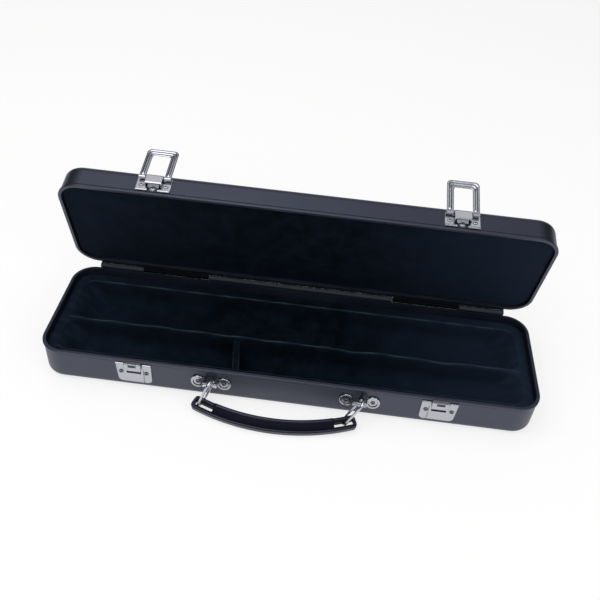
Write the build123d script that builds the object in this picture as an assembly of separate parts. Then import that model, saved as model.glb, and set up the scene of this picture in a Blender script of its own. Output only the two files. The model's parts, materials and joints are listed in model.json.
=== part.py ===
from build123d import *
import math
import os

# Flute case, standing open on its underside. Millimetres. X runs along the case, -Y is the
# handle side, +Z is up, and the origin is the centre of the underside.

# ---- case halves ----
case_length = 420.0
case_width = 108.0
base_height = 34.0
lid_height = 24.5
corner_radius = 19.5
wall = 2.0
floor = 2.0
edge_radius = 6.5
bead_proud = 0.8
bead_height = 2.6
bead_round = 0.7
groove_depth = 0.4
groove_height = 0.8

# ---- hinge ----
open_angle = 76.2
axis_behind = 4.2
axis_below = 1.0
hinge_length = 379.0
hinge_outer_knuckle = 41.0
hinge_lid_knuckle = 62.0
knuckle_gap = 0.3
barrel_radius = 2.0
hinge_pin_radius = 1.0
leaf = 0.8
leaf_height = 9.0
hinge_rivet_pitch = 42.0
hinge_rivet_count = 9
hinge_rivet_edge = 2.4
leaf_gap = 0.1
leaf_into_barrel = 0.1
leaf_off_barrel = 0.3

# ---- lining, foam and pads ----
plush = 1.2
side_gap = 1.6
lining_gap = 0.2
base_lining_drop = 5.8
lid_lining_drop = 2.0
channel_floor = 7.0
channel_end = 9.0
channel_corner = 10.0
channel_floor_round = 9.5
back_ledge = 11.0
front_ledge = 8.0
middle_rail = 4.0
middle_rail_y = -7.5
divider_x = -46.0
divider_angle = -8.0
divider_thickness = 6.5
divider_drop = 2.0
divider_round = 1.5
divider_gap = 0.02
lid_lining_round = 0.8

# ---- rivets ----
rivet_head = 1.9
rivet_head_height = 0.8
rivet_dome = 0.55
rivet_shank = 1.1
rivet_bore = 0.7
rivet_bore_depth = 2.2
rivet_tail = 1.7
rivet_tail_height = 0.5
rivet_hole_gap = 0.05
backing = 0.8
backing_height = 13.0
latch_backing_height = 10.0
latch_backing_shift = 1.2
backing_corner = 1.5
backing_margin = 1.0

# ---- latches ----
latch_x = 127.8
sheet = 0.8
keeper_width = 30.0
keeper_below_rim = 3.0
keeper_height = 23.0
keeper_corner = 4.0
keeper_taper = 1.6
keeper_rivet_x = 10.7
keeper_rivet_below_rim = 14.0
hook_width = 14.0
hook_height = 8.1
hook_below_rim = 0.7
hook_proud = 4.4
hook_slot_width = 6.8
hook_slot_height = 2.9
hook_slot_above = 4.4
hook_bead_gap = 0.05
hook_chamfer = 0.4
keeper_window_below = 6.7
keeper_window_above = 3.8
keeper_rib_width = 0.8
keeper_rib_gap = 1.5
keeper_rib_stop = 1.0
flange_radius = 1.0
flange_proud = 2.0
flange_gap = 0.9
flange_trim = 0.4
latch_width = 29.0
latch_above_rim = 3.2
latch_height = 15.8
latch_corner = 2.0
latch_rivet_x = 10.4
latch_rivet_above_rim = 9.4
block_height = 10.0
block_top_above_rim = 18.3
block_proud = 5.2
block_round = 1.6
pivot_proud = 3.6
pivot_above_rim = 15.75
latch_pin_radius = 0.7
spring_width = 9.6
spring_thickness = 0.6
spring_gap = 0.4
spring_rise = 1.8
spring_below_pin = 0.8
spring_tip_round = 2.6
tongue_window = 8.8
tongue_window_height = 4.2
tongue_rivet_above_rim = 6.4

# ---- latch loops ----
running_gap = 0.05
loop_thickness = 1.2
loop_length = 33.4
loop_window_length = 25.8
loop_clearance = 0.8
loop_arm = 5.85
loop_corner = 4.0
loop_window_corner = 2.0
loop_eye_wall = 0.85
loop_ridge_width = 2.2
loop_ridge_height = 0.4
loop_ridge_start = 3.0
loop_ridge_corner = 0.9
loop_ridge_chamfer = 0.28
loop_ridge_sunk = 0.1
loop_bar_groove = 0.7
loop_bar_groove_depth = 0.35
loop_tilt_left = -3.5
loop_tilt_right = 3.5

# ---- handle mounts and rings ----
mount_x = 62.4
mount_below_rim = 14.75
lobe_x = 11.0
lobe_width = 12.0
lobe_height = 14.0
lobe_proud = 1.6
lobe_dish = 0.8
lobe_rim = 1.9
lobe_round = 0.6
waist_drop = 3.5
ring_wire_radius = 1.1
ring_bend = 5.8
ring_wall_gap = 0.3
ring_axis_below_rim = 11.5
ring_droop_out = 3.4
strap_radius = 2.9
strap_thickness = 1.0
strap_arc = 58.0
strap_side = 0.8
strap_inside = 10.2
ring_lean_left = 5.5
ring_lean_right = 8.5
ring_twist_left = 25.0
ring_twist_right = 10.0

# ---- handle ----
ring_floor_gap = 0.4
handle_floor_gap = 0.3
handle_rail = 3.4
handle_rail_height = 4.2
handle_slot = 6.0
handle_outer_rail = 2.6
handle_slot_length = 15.5
handle_slot_past_ring = 3.5
handle_slot_round = 1.8
handle_end = 7.8
handle_sagitta = 10.8
handle_rail_round = 1.4
handle_grip_height = 6.0
handle_channel_depth = 1.0
handle_channel_rail = 2.6
handle_channel_start = 3.0
handle_channel_round = 1.6
handle_end_round = 3.8

# ---- derived places ----
wall_y = case_width / 2 - bead_proud
wall_x = case_length / 2 - bead_proud
inner_x = wall_x - wall
inner_y = wall_y - wall
inner_corner = corner_radius - bead_proud - wall
total_height = base_height + lid_height
hinge_y = case_width / 2 + axis_behind
hinge_z = base_height - axis_below
hinge_axis = Axis((0, hinge_y, hinge_z), (1, 0, 0))
front = (0, -1, 0)
back = (0, 1, 0)
pivot_y = -wall_y - pivot_proud
pivot_z = base_height + pivot_above_rim
keeper_top = base_height - keeper_below_rim
keeper_bottom = keeper_top - keeper_height
keeper_rivet_z = base_height - keeper_rivet_below_rim
hook_bottom = base_height - hook_below_rim - hook_height
latch_bottom = base_height + latch_above_rim
latch_rivet_z = base_height + latch_rivet_above_rim
tongue_rivet_z = base_height + tongue_rivet_above_rim
spring_ramp_z = tongue_rivet_z + rivet_head + running_gap
block_top = base_height + block_top_above_rim
mount_z = base_height - mount_below_rim
ring_axis_z = base_height - ring_axis_below_rim
hook_clear = hook_width / 2 + loop_clearance
lining_z = base_height - base_lining_drop
lid_lining_z = base_height + lid_lining_drop
ring_axis_y = -wall_y - ring_wall_gap - ring_wire_radius - ring_bend
ring_far_y = ring_axis_y - ring_droop_out
ring_far_z = ring_floor_gap + ring_wire_radius + ring_bend
handle_width = handle_rail + handle_slot + handle_outer_rail
far_left_x = -mount_x - ring_lean_left
far_right_x = mount_x - ring_lean_right


def on_wall(x, z, proud=0.0, side=front):
    """The plane on a long wall, its x axis along the case and its normal pointing outwards."""
    y = side[1] * (wall_y + proud)
    return Plane(origin=(x, y, z), x_dir=(-side[1], 0, 0), z_dir=side)


def opened(piece):
    """A piece drawn on the closed lid, swung to where the open lid holds it."""
    return piece.rotate(hinge_axis, -open_angle)


def slab(x, z, width, height, thickness, proud=0.0, side=front):
    """A flat block on a long wall, centred on x and z, its back standing proud of the wall."""
    sketch = on_wall(x, z, proud, side) * Rectangle(width, height)
    return extrude(sketch, thickness)


def drilled(piece, places, radius, side=front):
    """The piece with a hole through a long wall at each place."""
    reach = 4 * wall
    for x, z in places:
        piece -= extrude(on_wall(x, z, reach, side) * Circle(radius), -2 * reach)
    return piece


def tub(height):
    """One case half, open at the top, with its rolled bead and the groove beside it."""
    outline = RectangleRounded(2 * wall_x, 2 * wall_y, corner_radius - bead_proud)
    body = extrude(outline, height)
    body = fillet(body.edges().group_by(Axis.Z)[0], edge_radius)
    bead = extrude(
        Pos(0, 0, height - bead_height) * RectangleRounded(case_length, case_width, corner_radius),
        bead_height,
    )
    ends = bead.edges().group_by(Axis.Z)
    bead = fillet(ends[0] + ends[-1], bead_round)
    body += bead
    groove_z = height - bead_height - groove_height
    ring = RectangleRounded(case_length, case_width, corner_radius)
    ring -= RectangleRounded(
        2 * (wall_x - groove_depth), 2 * (wall_y - groove_depth), corner_radius - bead_proud - groove_depth
    )
    body -= extrude(Pos(0, 0, groove_z) * ring, groove_height)
    hollow = extrude(Pos(0, 0, floor) * RectangleRounded(2 * inner_x, 2 * inner_y, inner_corner), height)
    hollow = fillet(hollow.edges().group_by(Axis.Z)[0], edge_radius - wall)
    return body - hollow


def closed_lid(piece):
    """A piece drawn in the upright tub of the lid, turned over on to the base."""
    return Pos(0, 0, total_height) * Rot(180, 0, 0) * piece


# ---- rivets ----
def rivet(x, z, proud, grip, side=front):
    """A tubular rivet: domed and bored head outside, shank through the grip, rolled tail inside."""
    head = extrude(on_wall(x, z, proud, side) * Circle(rivet_head), rivet_head_height)
    head = fillet(head.edges().group_by(Axis.Y)[0 if side == front else -1], rivet_dome)
    shank = extrude(on_wall(x, z, proud, side) * Circle(rivet_shank), -grip)
    tail = extrude(on_wall(x, z, proud - grip, side) * Circle(rivet_tail), -rivet_tail_height)
    bore = extrude(on_wall(x, z, proud + rivet_head_height, side) * Circle(rivet_bore), -rivet_bore_depth)
    return head + shank + tail - bore


def rivets(places, proud, grip, side=front):
    """Separate rivets that share one node."""
    return Compound(children=[rivet(x, z, proud, grip, side) for x, z in places])


def backing_plate(x, z, width, height, places):
    """A plate inside a long front wall that spreads the pull of the rivets."""
    plate = slab(x, z, width, height, backing, -wall - backing)
    plate = fillet(plate.edges().filter_by(Axis.Y), backing_corner)
    return drilled(plate, places, rivet_shank + rivet_hole_gap)


rivet_hole = rivet_shank + rivet_hole_gap
latch_backing_z = (latch_rivet_z + tongue_rivet_z) / 2 + latch_backing_shift
latch_centres = (-latch_x, latch_x)
mount_centres = (-mount_x, mount_x)
keeper_places = [(x + s * keeper_rivet_x, keeper_rivet_z) for x in latch_centres for s in (-1, 1)]
latch_places = [(x + s * latch_rivet_x, latch_rivet_z) for x in latch_centres for s in (-1, 1)]
tongue_places = [(x, tongue_rivet_z) for x in latch_centres]
mount_places = [(x + s * lobe_x, mount_z) for x in mount_centres for s in (-1, 1)]
base_leaf_top = base_height - bead_height - leaf_gap
base_rivet_z = base_leaf_top - leaf_height + hinge_rivet_edge
lid_leaf_bottom = base_height + bead_height + leaf_gap
lid_rivet_z = lid_leaf_bottom + leaf_height - hinge_rivet_edge
hinge_rivet_half_row = hinge_rivet_pitch * (hinge_rivet_count - 1) / 2
hinge_rivet_xs = [i * hinge_rivet_pitch - hinge_rivet_half_row for i in range(hinge_rivet_count)]
base_leaf_places = [(x, base_rivet_z) for x in hinge_rivet_xs]
lid_leaf_places = [(x, lid_rivet_z) for x in hinge_rivet_xs]


# ---- case shells ----
def base_shell():
    """The lower half, drilled for the keepers, the handle mounts and the hinge."""
    shell = tub(base_height)
    shell = drilled(shell, keeper_places + mount_places, rivet_hole)
    return drilled(shell, base_leaf_places, rivet_hole, back)


def lid_shell():
    """The upper half on the closed case, drilled for the latches and the hinge."""
    shell = closed_lid(tub(lid_height))
    shell = drilled(shell, latch_places + tongue_places, rivet_hole)
    return drilled(shell, lid_leaf_places, rivet_hole, back)


# ---- lining ----
channel_back_y = inner_y - back_ledge + lining_gap
channel_front_y = -inner_y + front_ledge - lining_gap
channel_half = inner_x - channel_end
body_low = middle_rail_y + middle_rail / 2
pocket_high = middle_rail_y - middle_rail / 2
foam_top = lining_z - plush
foam_sheet_top = channel_floor - plush


def trough(low_y, high_y, grow=0.0):
    """A channel with rounded corners and floor, grown on all sides by the plush."""
    width = high_y - low_y + 2 * grow
    length = 2 * (channel_half + grow)
    bottom = channel_floor - grow
    corner = channel_corner + grow
    centre_y = (low_y + high_y) / 2
    block = extrude(
        Pos(0, centre_y, bottom) * RectangleRounded(length, width, corner), base_height - bottom
    )
    return fillet(block.edges().group_by(Axis.Z)[0], channel_floor_round + grow)


def troughs():
    """The body joint's channel at the back and the head and foot joints' channel in front."""
    return [trough(body_low, channel_back_y), trough(channel_front_y, pocket_high)]


def foam_cut(low_y, high_y):
    """The square-cut space between the foam strips that a channel's plush is fitted into."""
    half = channel_half + plush
    return block_between(
        -half, half, low_y - plush, high_y + plush, channel_floor - plush, base_height
    )


def foam_cuts():
    """Both square-cut spaces in the foam."""
    return [foam_cut(body_low, channel_back_y), foam_cut(channel_front_y, pocket_high)]


def foam_between(start, end, low_y, high_y, low_z, high_z):
    """The part of the foam that fills the base which lies between two places on each axis."""
    outline = RectangleRounded(2 * (inner_x - side_gap), 2 * (inner_y - side_gap), inner_corner - side_gap)
    block = extrude(Pos(0, 0, floor) * outline, foam_top - floor)
    block = fillet(block.edges().group_by(Axis.Z)[0], edge_radius - wall - side_gap)
    return block & block_between(start, end, low_y, high_y, low_z, high_z)


def foam_sheet():
    """The foam sheet under the channels."""
    return foam_between(-wall_x, wall_x, -wall_y, wall_y, floor, foam_sheet_top)


def foam_strip(low_y, high_y):
    """A foam strip on the sheet, as long as the base."""
    return foam_between(-wall_x, wall_x, low_y, high_y, foam_sheet_top, foam_top)


def foam_end_blocks():
    """The four blocks that close the channels' ends, between the strips."""
    half = channel_half + plush
    blocks = []
    for low_y, high_y in ((body_low, channel_back_y), (channel_front_y, pocket_high)):
        for start, end in ((-wall_x, -half), (half, wall_x)):
            blocks.append(
                foam_between(start, end, low_y - plush, high_y + plush, foam_sheet_top, foam_top)
            )
    return Compound(children=blocks)


def base_lining():
    """The plush over the foam: a ledge round the rim and two channels, thicker in their corners."""
    outline = RectangleRounded(
        2 * (inner_x - lining_gap), 2 * (inner_y - lining_gap), inner_corner - lining_gap
    )
    skin = extrude(Pos(0, 0, lining_z - plush) * outline, plush)
    below = Pos(0, 0, lining_z / 2) * Box(case_length, case_width, lining_z)
    for cut in foam_cuts():
        skin += cut & below
    for channel in troughs():
        skin -= channel
    return skin


def pocket_divider():
    """The covered block that parts the foot joint's pocket from the head joint's."""
    height = lining_z - divider_drop
    centre_y = (channel_front_y + pocket_high) / 2
    block = Pos(divider_x, centre_y, height / 2) * Rot(0, 0, -divider_angle) * Box(
        divider_thickness, case_width, height
    )
    block = block & trough(channel_front_y, pocket_high, -divider_gap)
    return fillet(block.edges().group_by(Axis.Z)[-1], divider_round)


def lid_pad():
    """The foam pad that fills the lid behind its plush face."""
    depth = lid_height - floor - lid_lining_drop - plush
    outline = RectangleRounded(2 * (inner_x - side_gap), 2 * (inner_y - side_gap), inner_corner - side_gap)
    pad = extrude(Pos(0, 0, floor) * outline, depth)
    pad = fillet(pad.edges().group_by(Axis.Z)[0], edge_radius - wall - side_gap)
    return closed_lid(pad)


def lid_lining():
    """The nearly flat plush face of the lid, tucked down inside the rim."""
    outline = RectangleRounded(
        2 * (inner_x - lining_gap), 2 * (inner_y - lining_gap), inner_corner - lining_gap
    )
    skin = extrude(Pos(0, 0, lid_lining_z) * outline, plush)
    return fillet(skin.edges().group_by(Axis.Z)[0], lid_lining_round)


# ---- hinge ----
def knuckle_spans():
    """The stretches of the barrel along X, each with the half that carries it."""
    half = hinge_length / 2
    outer = half - hinge_outer_knuckle
    inner = outer - hinge_lid_knuckle
    return [
        (-half, -outer, "base"),
        (-outer, -inner, "lid"),
        (-inner, inner, "base"),
        (inner, outer, "lid"),
        (outer, half, "base"),
    ]


def barrel(start, end):
    """A hollow stretch of the hinge barrel between two places on X."""
    ring = Plane.YZ.offset(start + knuckle_gap / 2) * Pos(hinge_y, hinge_z) * (
        Circle(barrel_radius) - Circle(hinge_pin_radius + running_gap)
    )
    return extrude(ring, end - start - knuckle_gap)


def hinge_bore():
    """The bore for the hinge pin through every knuckle."""
    circle = Circle(hinge_pin_radius + running_gap)
    return extrude(Plane.YZ.offset(-hinge_length) * Pos(hinge_y, hinge_z) * circle, 2 * hinge_length)


def block_between(start, end, low_y, high_y, low_z, high_z):
    """A block between two places on each axis."""
    return Pos((start + end) / 2, (low_y + high_y) / 2, (low_z + high_z) / 2) * Box(
        end - start, high_y - low_y, high_z - low_z
    )


def hinge_leaf_base():
    """The lower leaf: flat on the back wall, stepping out under the bead to its knuckles."""
    plate = slab(0, base_leaf_top - leaf_height / 2, hinge_length, leaf_height, leaf, 0, back)
    half = hinge_length / 2
    # between its own knuckles the step stops short of the lid's
    drop = hinge_z - base_leaf_top
    short = hinge_y - math.sqrt((barrel_radius + leaf_off_barrel) ** 2 - drop**2)
    plate += block_between(-half, half, wall_y, short, base_leaf_top - leaf, base_leaf_top)
    for start, end, owner in knuckle_spans():
        if owner == "base":
            low, high = start + knuckle_gap / 2, end - knuckle_gap / 2
            plate += block_between(low, high, wall_y, hinge_y, base_leaf_top - leaf, base_leaf_top)
            plate += barrel(start, end)
    return drilled(plate - hinge_bore(), base_leaf_places, rivet_hole, back)


def hinge_leaf_lid():
    """The upper leaf: flat on the lid's back wall, stepping out over the bead and down."""
    centre_z = lid_leaf_bottom + leaf_height / 2
    plate = slab(0, centre_z, hinge_length, leaf_height, leaf, 0, back)
    inner_face = hinge_y - barrel_radius + leaf_into_barrel
    outer_face = inner_face + leaf
    leaf_top = lid_leaf_bottom + leaf
    half = hinge_length / 2
    plate += block_between(-half, half, wall_y, outer_face, lid_leaf_bottom, leaf_top)
    # over the base's knuckles the web stops short of them
    reach = math.sqrt((barrel_radius + leaf_off_barrel) ** 2 - (hinge_y - outer_face) ** 2)
    plate += block_between(-half, half, inner_face, outer_face, hinge_z + reach, leaf_top)
    for start, end, owner in knuckle_spans():
        if owner == "lid":
            low, high = start + knuckle_gap / 2, end - knuckle_gap / 2
            plate += block_between(low, high, inner_face, outer_face, hinge_z, leaf_top)
            plate += barrel(start, end)
    return drilled(plate - hinge_bore(), lid_leaf_places, rivet_hole, back)


def hinge_pin():
    """The wire on which all the knuckles turn."""
    circle = Plane.YZ.offset(-hinge_length / 2) * Pos(hinge_y, hinge_z) * Circle(hinge_pin_radius)
    return extrude(circle, hinge_length)


# ---- keepers on the base ----
def rolled_flange(x, z, length):
    """A rolled lip along the edge of a latch plate."""
    centre_y = -wall_y - flange_proud + flange_radius
    bar = Plane.YZ.offset(x - length / 2) * Pos(centre_y, z) * Circle(flange_radius)
    return extrude(bar, length)


def keeper(x, inward):
    """A keeper plate, tapered on its outer side, with a hood pressed out for the loop to hook under."""
    half = keeper_width / 2
    left_foot = -half + (keeper_taper if inward > 0 else 0)
    right_foot = half - (keeper_taper if inward < 0 else 0)
    outline = Polygon(
        (-half, keeper_top),
        (left_foot, keeper_bottom),
        (right_foot, keeper_bottom),
        (half, keeper_top),
        align=None,
    )
    plate = extrude(on_wall(x, 0) * outline, sheet)
    corners = plate.edges().filter_by(Axis.Y).group_by(Axis.Z)
    plate = fillet(corners[0], keeper_corner)
    flange_length = (keeper_width - hook_width) / 2 - flange_gap - flange_trim
    for side in (-1, 1):
        centre = x + side * (hook_width / 2 + flange_gap + flange_length / 2)
        lip = rolled_flange(centre, keeper_top - flange_radius, flange_length)
        plate += lip - slab(x, keeper_top, keeper_width, keeper_height, wall, -wall)
    depth = hook_proud - sheet
    centre_z = hook_bottom + hook_height / 2
    hook = slab(x, centre_z, hook_width, hook_height, depth, sheet + hook_bead_gap)
    hook = chamfer(hook.faces().sort_by(Axis.Y)[0].edges(), hook_chamfer)
    foot = slab(x, (hook_bottom + keeper_top) / 2, hook_width, keeper_top - hook_bottom, sheet, sheet / 2)
    # the hood is open below, and the plate behind it is cut away where the hood was pressed out
    inside = hook_width - 2 * sheet
    cavity = slab(x, centre_z - sheet, inside, hook_height, depth - sheet, sheet)
    slot_z = hook_bottom + hook_slot_above + hook_slot_height / 2
    slot = slab(x, slot_z, hook_slot_width, hook_slot_height, hook_proud, sheet)
    window_low = hook_bottom - keeper_window_below
    window_high = hook_bottom + keeper_window_above
    window = slab(x, (window_low + window_high) / 2, inside, window_high - window_low, sheet)
    rib_x = x + inward * (hook_width / 2 + keeper_rib_gap)
    rib_height = hook_bottom - keeper_bottom - keeper_rib_stop
    rib = slab(rib_x, keeper_bottom + rib_height / 2, keeper_rib_width, rib_height, sheet, sheet / 2)
    return drilled(plate + hook + foot - cavity - slot - window - rib, keeper_places, rivet_hole)


# ---- latches on the lid ----
def pin_bore(x):
    """The bore for a latch's pin, past both sides of the loop."""
    circle = Circle(latch_pin_radius + running_gap)
    return extrude(Plane.YZ.offset(x - latch_width) * Pos(pivot_y, pivot_z) * circle, 2 * latch_width)


def latch_plate(x):
    """The lid's latch plate: rolled rim flanges, a hollow block, and a cut-out for the spring."""
    centre_z = latch_bottom + latch_height / 2
    plate = slab(x, centre_z, latch_width, latch_height, sheet)
    corners = plate.edges().filter_by(Axis.Y).group_by(Axis.Z)
    plate = fillet(corners[-1], latch_corner)
    flange_length = (latch_width - tongue_window) / 2 - flange_trim
    for side in (-1, 1):
        centre = x + side * (tongue_window / 2 + flange_length / 2)
        lip = rolled_flange(centre, latch_bottom + flange_radius, flange_length)
        plate += lip - slab(x, latch_bottom, latch_width, latch_height, wall, -wall)
    depth = block_proud - sheet / 2
    block_z = block_top - block_height / 2
    block = slab(x, block_z, hook_width, block_height, depth, sheet / 2)
    block = fillet(block.faces().sort_by(Axis.Y)[0].edges().filter_by(Axis.X), block_round)
    tunnel = slab(
        x, block_z - sheet, hook_width - 2 * sheet, block_height, block_proud - 2 * sheet, sheet
    )
    plate = plate + block - tunnel
    window_z = latch_bottom + tongue_window_height / 2
    plate -= slab(x, window_z, tongue_window, tongue_window_height, 4 * sheet)
    plate -= spring_outline(x, spring_ramp_z + sheet, spring_gap, sheet)
    return drilled(plate - pin_bore(x), latch_places, rivet_hole)


def latch_pin(x):
    """The pin through the block on which the loop's two feet turn."""
    half = hook_clear + loop_arm
    circle = Plane.YZ.offset(x - half) * Pos(pivot_y, pivot_z) * Circle(latch_pin_radius)
    return extrude(circle, 2 * half)


def spring_outline(x, top, grow, thickness):
    """The spring's outline on the wall, grown all round: a round tip that widens to the strip."""
    tip = spring_tip_round + grow
    half = spring_width / 2 + grow
    strip = Polygon(
        (-tip, tongue_rivet_z),
        (tip, tongue_rivet_z),
        (half, spring_ramp_z),
        (half, top + grow),
        (-half, top + grow),
        (-half, spring_ramp_z),
        align=None,
    )
    strip += Pos(0, tongue_rivet_z) * Circle(tip)
    return extrude(on_wall(x, 0) * strip, thickness)


def latch_spring(x):
    """The leaf spring: riveted at its round tongue, it ramps up into the hollow block."""
    top = pivot_z - latch_pin_radius - spring_below_pin
    ramp_end = spring_ramp_z + spring_rise
    bend = spring_thickness * math.tan(math.radians(22.5))
    outer = spring_rise + spring_thickness
    profile = Polygon(
        (-wall_y, latch_bottom),
        (-wall_y, spring_ramp_z),
        (-wall_y - spring_rise, ramp_end),
        (-wall_y - spring_rise, top),
        (-wall_y - outer, top),
        (-wall_y - outer, ramp_end - bend),
        (-wall_y - spring_thickness, spring_ramp_z - bend),
        (-wall_y - spring_thickness, latch_bottom),
        align=None,
    )
    strip = extrude(Plane.YZ.offset(x) * profile, spring_width, both=True)
    return drilled(strip & spring_outline(x, top, 0, 2 * outer), tongue_places, rivet_hole)


def latch_loop(x, tilt):
    """The pull loop, folded up over the lid's front wall: two ridged arms and a grooved bar."""
    half = hook_clear + loop_arm
    frame = Plane(origin=(x, pivot_y, pivot_z), x_dir=(1, 0, 0), z_dir=front)
    outline = Pos(0, loop_length / 2) * Rectangle(2 * half, loop_length)
    outline = fillet(outline.vertices().group_by(Axis.Y)[-1], loop_corner)
    reach = 2 * loop_window_length
    window = Rectangle(2 * hook_clear, reach)
    window = fillet(window.vertices().group_by(Axis.Y)[-1], loop_window_corner)
    loop = extrude(frame * (outline - window), loop_thickness / 2, both=True)
    arm_x = hook_clear + loop_arm / 2
    ridge_length = loop_window_length - loop_ridge_start
    ridge_plane = frame.offset(loop_thickness / 2 - loop_ridge_sunk)
    for side in (-1, 1):
        ridge = ridge_plane * Pos(side * arm_x, ridge_length / 2 + loop_ridge_start)
        ridge *= RectangleRounded(loop_ridge_width, ridge_length, loop_ridge_corner)
        ridge = extrude(ridge, loop_ridge_height + loop_ridge_sunk)
        top = ridge.faces().sort_by(Axis.Y)[0]
        loop += chamfer(top.edges(), loop_ridge_chamfer)
        eye = Plane.YZ.offset(x + side * arm_x - loop_arm / 2) * Pos(pivot_y, pivot_z)
        loop += extrude(eye * Circle(latch_pin_radius + loop_eye_wall), loop_arm)
    bar = loop_length - loop_window_length
    for step in (1, 2):
        groove = frame.offset(loop_thickness / 2) * Pos(0, loop_window_length + step * bar / 3)
        loop -= extrude(groove * SlotOverall(2 * hook_clear, loop_bar_groove), -loop_bar_groove_depth)
    loop -= pin_bore(x)
    return loop.rotate(Axis((x, pivot_y, pivot_z), (1, 0, 0)), tilt)


# ---- handle mounts and rings ----
def handle_mount(x):
    """A bow-tie plate: two dished lobes and the raised strap that the ring hangs round."""
    plate = None
    for side in (-1, 1):
        oval = on_wall(x + side * lobe_x, mount_z) * Ellipse(lobe_width / 2, lobe_height / 2)
        lobe = extrude(oval, lobe_proud)
        lobe = fillet(lobe.edges().group_by(Axis.Y)[0], lobe_round)
        dish = on_wall(x + side * lobe_x, mount_z, lobe_proud) * Ellipse(
            lobe_width / 2 - lobe_rim, lobe_height / 2 - lobe_rim
        )
        lobe -= extrude(dish, -(lobe_proud - lobe_dish))
        plate = lobe if plate is None else plate + lobe
    inside = strap_inside / 2
    axis_proud = ring_wall_gap + ring_wire_radius + ring_bend
    half_height = strap_radius * math.sin(math.radians(strap_arc))
    leg_proud = axis_proud - strap_radius * math.cos(math.radians(strap_arc))
    band = Plane.YZ.offset(x - inside - strap_side) * Pos(ring_axis_y, ring_axis_z) * (
        Circle(strap_radius) - Circle(strap_radius - strap_thickness)
    )
    band = extrude(band, 2 * (inside + strap_side))
    keep = block_between(
        x - lobe_x, x + lobe_x, ring_axis_y, -wall_y, ring_axis_z - half_height, ring_axis_z + half_height
    )
    band = band & keep
    for side in (-1, 1):
        low, high = sorted((x + side * inside, x + side * (inside + strap_side)))
        band += block_between(
            low,
            high,
            -wall_y - leg_proud,
            -wall_y,
            ring_axis_z - half_height,
            ring_axis_z + half_height,
        )
        low, high = sorted((x + side * inside, x + side * (lobe_x - lobe_width / 2 + lobe_rim)))
        waist_low = mount_z - waist_drop
        band += block_between(low, high, -wall_y - sheet, -wall_y, waist_low, ring_axis_z + half_height)
    return drilled(plate + band, mount_places, rivet_hole)


def ring_frame(x, lean, twist):
    """The plane of a hanging ring at its hinge axis: x across the ring, y up along it."""
    hang = Vector(-lean, -ring_droop_out, ring_far_z - ring_axis_z)
    along = hang.normalized()
    across = Vector(0, 1, 0) - along * along.Y
    across = across.normalized().rotate(Axis((0, 0, 0), tuple(along)), twist)
    origin = (x, ring_axis_y, ring_axis_z)
    return Plane(origin=origin, x_dir=tuple(across), z_dir=tuple(along.cross(across))), hang.length


def handle_ring(x, lean, twist):
    """A ring of bent wire with two straight strands, hanging from the strap to the handle."""
    frame, length = ring_frame(x, lean, twist)
    across = Plane(origin=(ring_bend, 0, 0), x_dir=(1, 0, 0), z_dir=(0, 1, 0))
    section = across * Circle(ring_wire_radius)
    bend = revolve(section, Axis.Z, 180)
    strand = extrude(section, -length)
    ring = bend + strand + Pos(-2 * ring_bend, 0, 0) * strand
    ring += Pos(0, -length, 0) * Rot(0, 0, 180) * bend
    return frame * ring


# ---- handle ----
def handle_plan():
    """The handle's centre, the half chord between its rails, and its centreline radius."""
    centre_x = (far_left_x + far_right_x) / 2
    half_chord = (far_right_x - far_left_x) / 2
    radius = (half_chord**2 + handle_sagitta**2) / (2 * handle_sagitta)
    return centre_x, half_chord, radius


def handle_tilt():
    """How far the handle slopes down from its rails to its outer edge on the ground."""
    drop = ring_far_z - handle_grip_height / 2 - handle_floor_gap
    reach = handle_width / 2 + handle_sagitta + handle_slot / 2
    return math.degrees(math.atan2(drop, reach))


def curved_bar(inner, outer, half_angle, height):
    """A bar bent along the handle's arc, its arc centre at the origin, lying in the XY plane."""
    start = 270 - half_angle
    arc_in = CenterArc((0, 0), inner, start, 2 * half_angle)
    arc_out = CenterArc((0, 0), outer, start, 2 * half_angle)
    lines = [Line(arc_in @ 0, arc_out @ 0), Line(arc_in @ 1, arc_out @ 1)]
    face = make_face(arc_in + lines[0] + arc_out + lines[1])
    return extrude(face, height / 2, both=True)


def slot_span(inner, outer, angle, height):
    """A bar on the arc as long as a handle slot, turned to one end's slot."""
    _, _, radius = handle_plan()
    half_angle = math.degrees(handle_slot_length / 2 / radius)
    return Rot(0, 0, angle) * curved_bar(inner, outer, half_angle, height)


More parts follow.
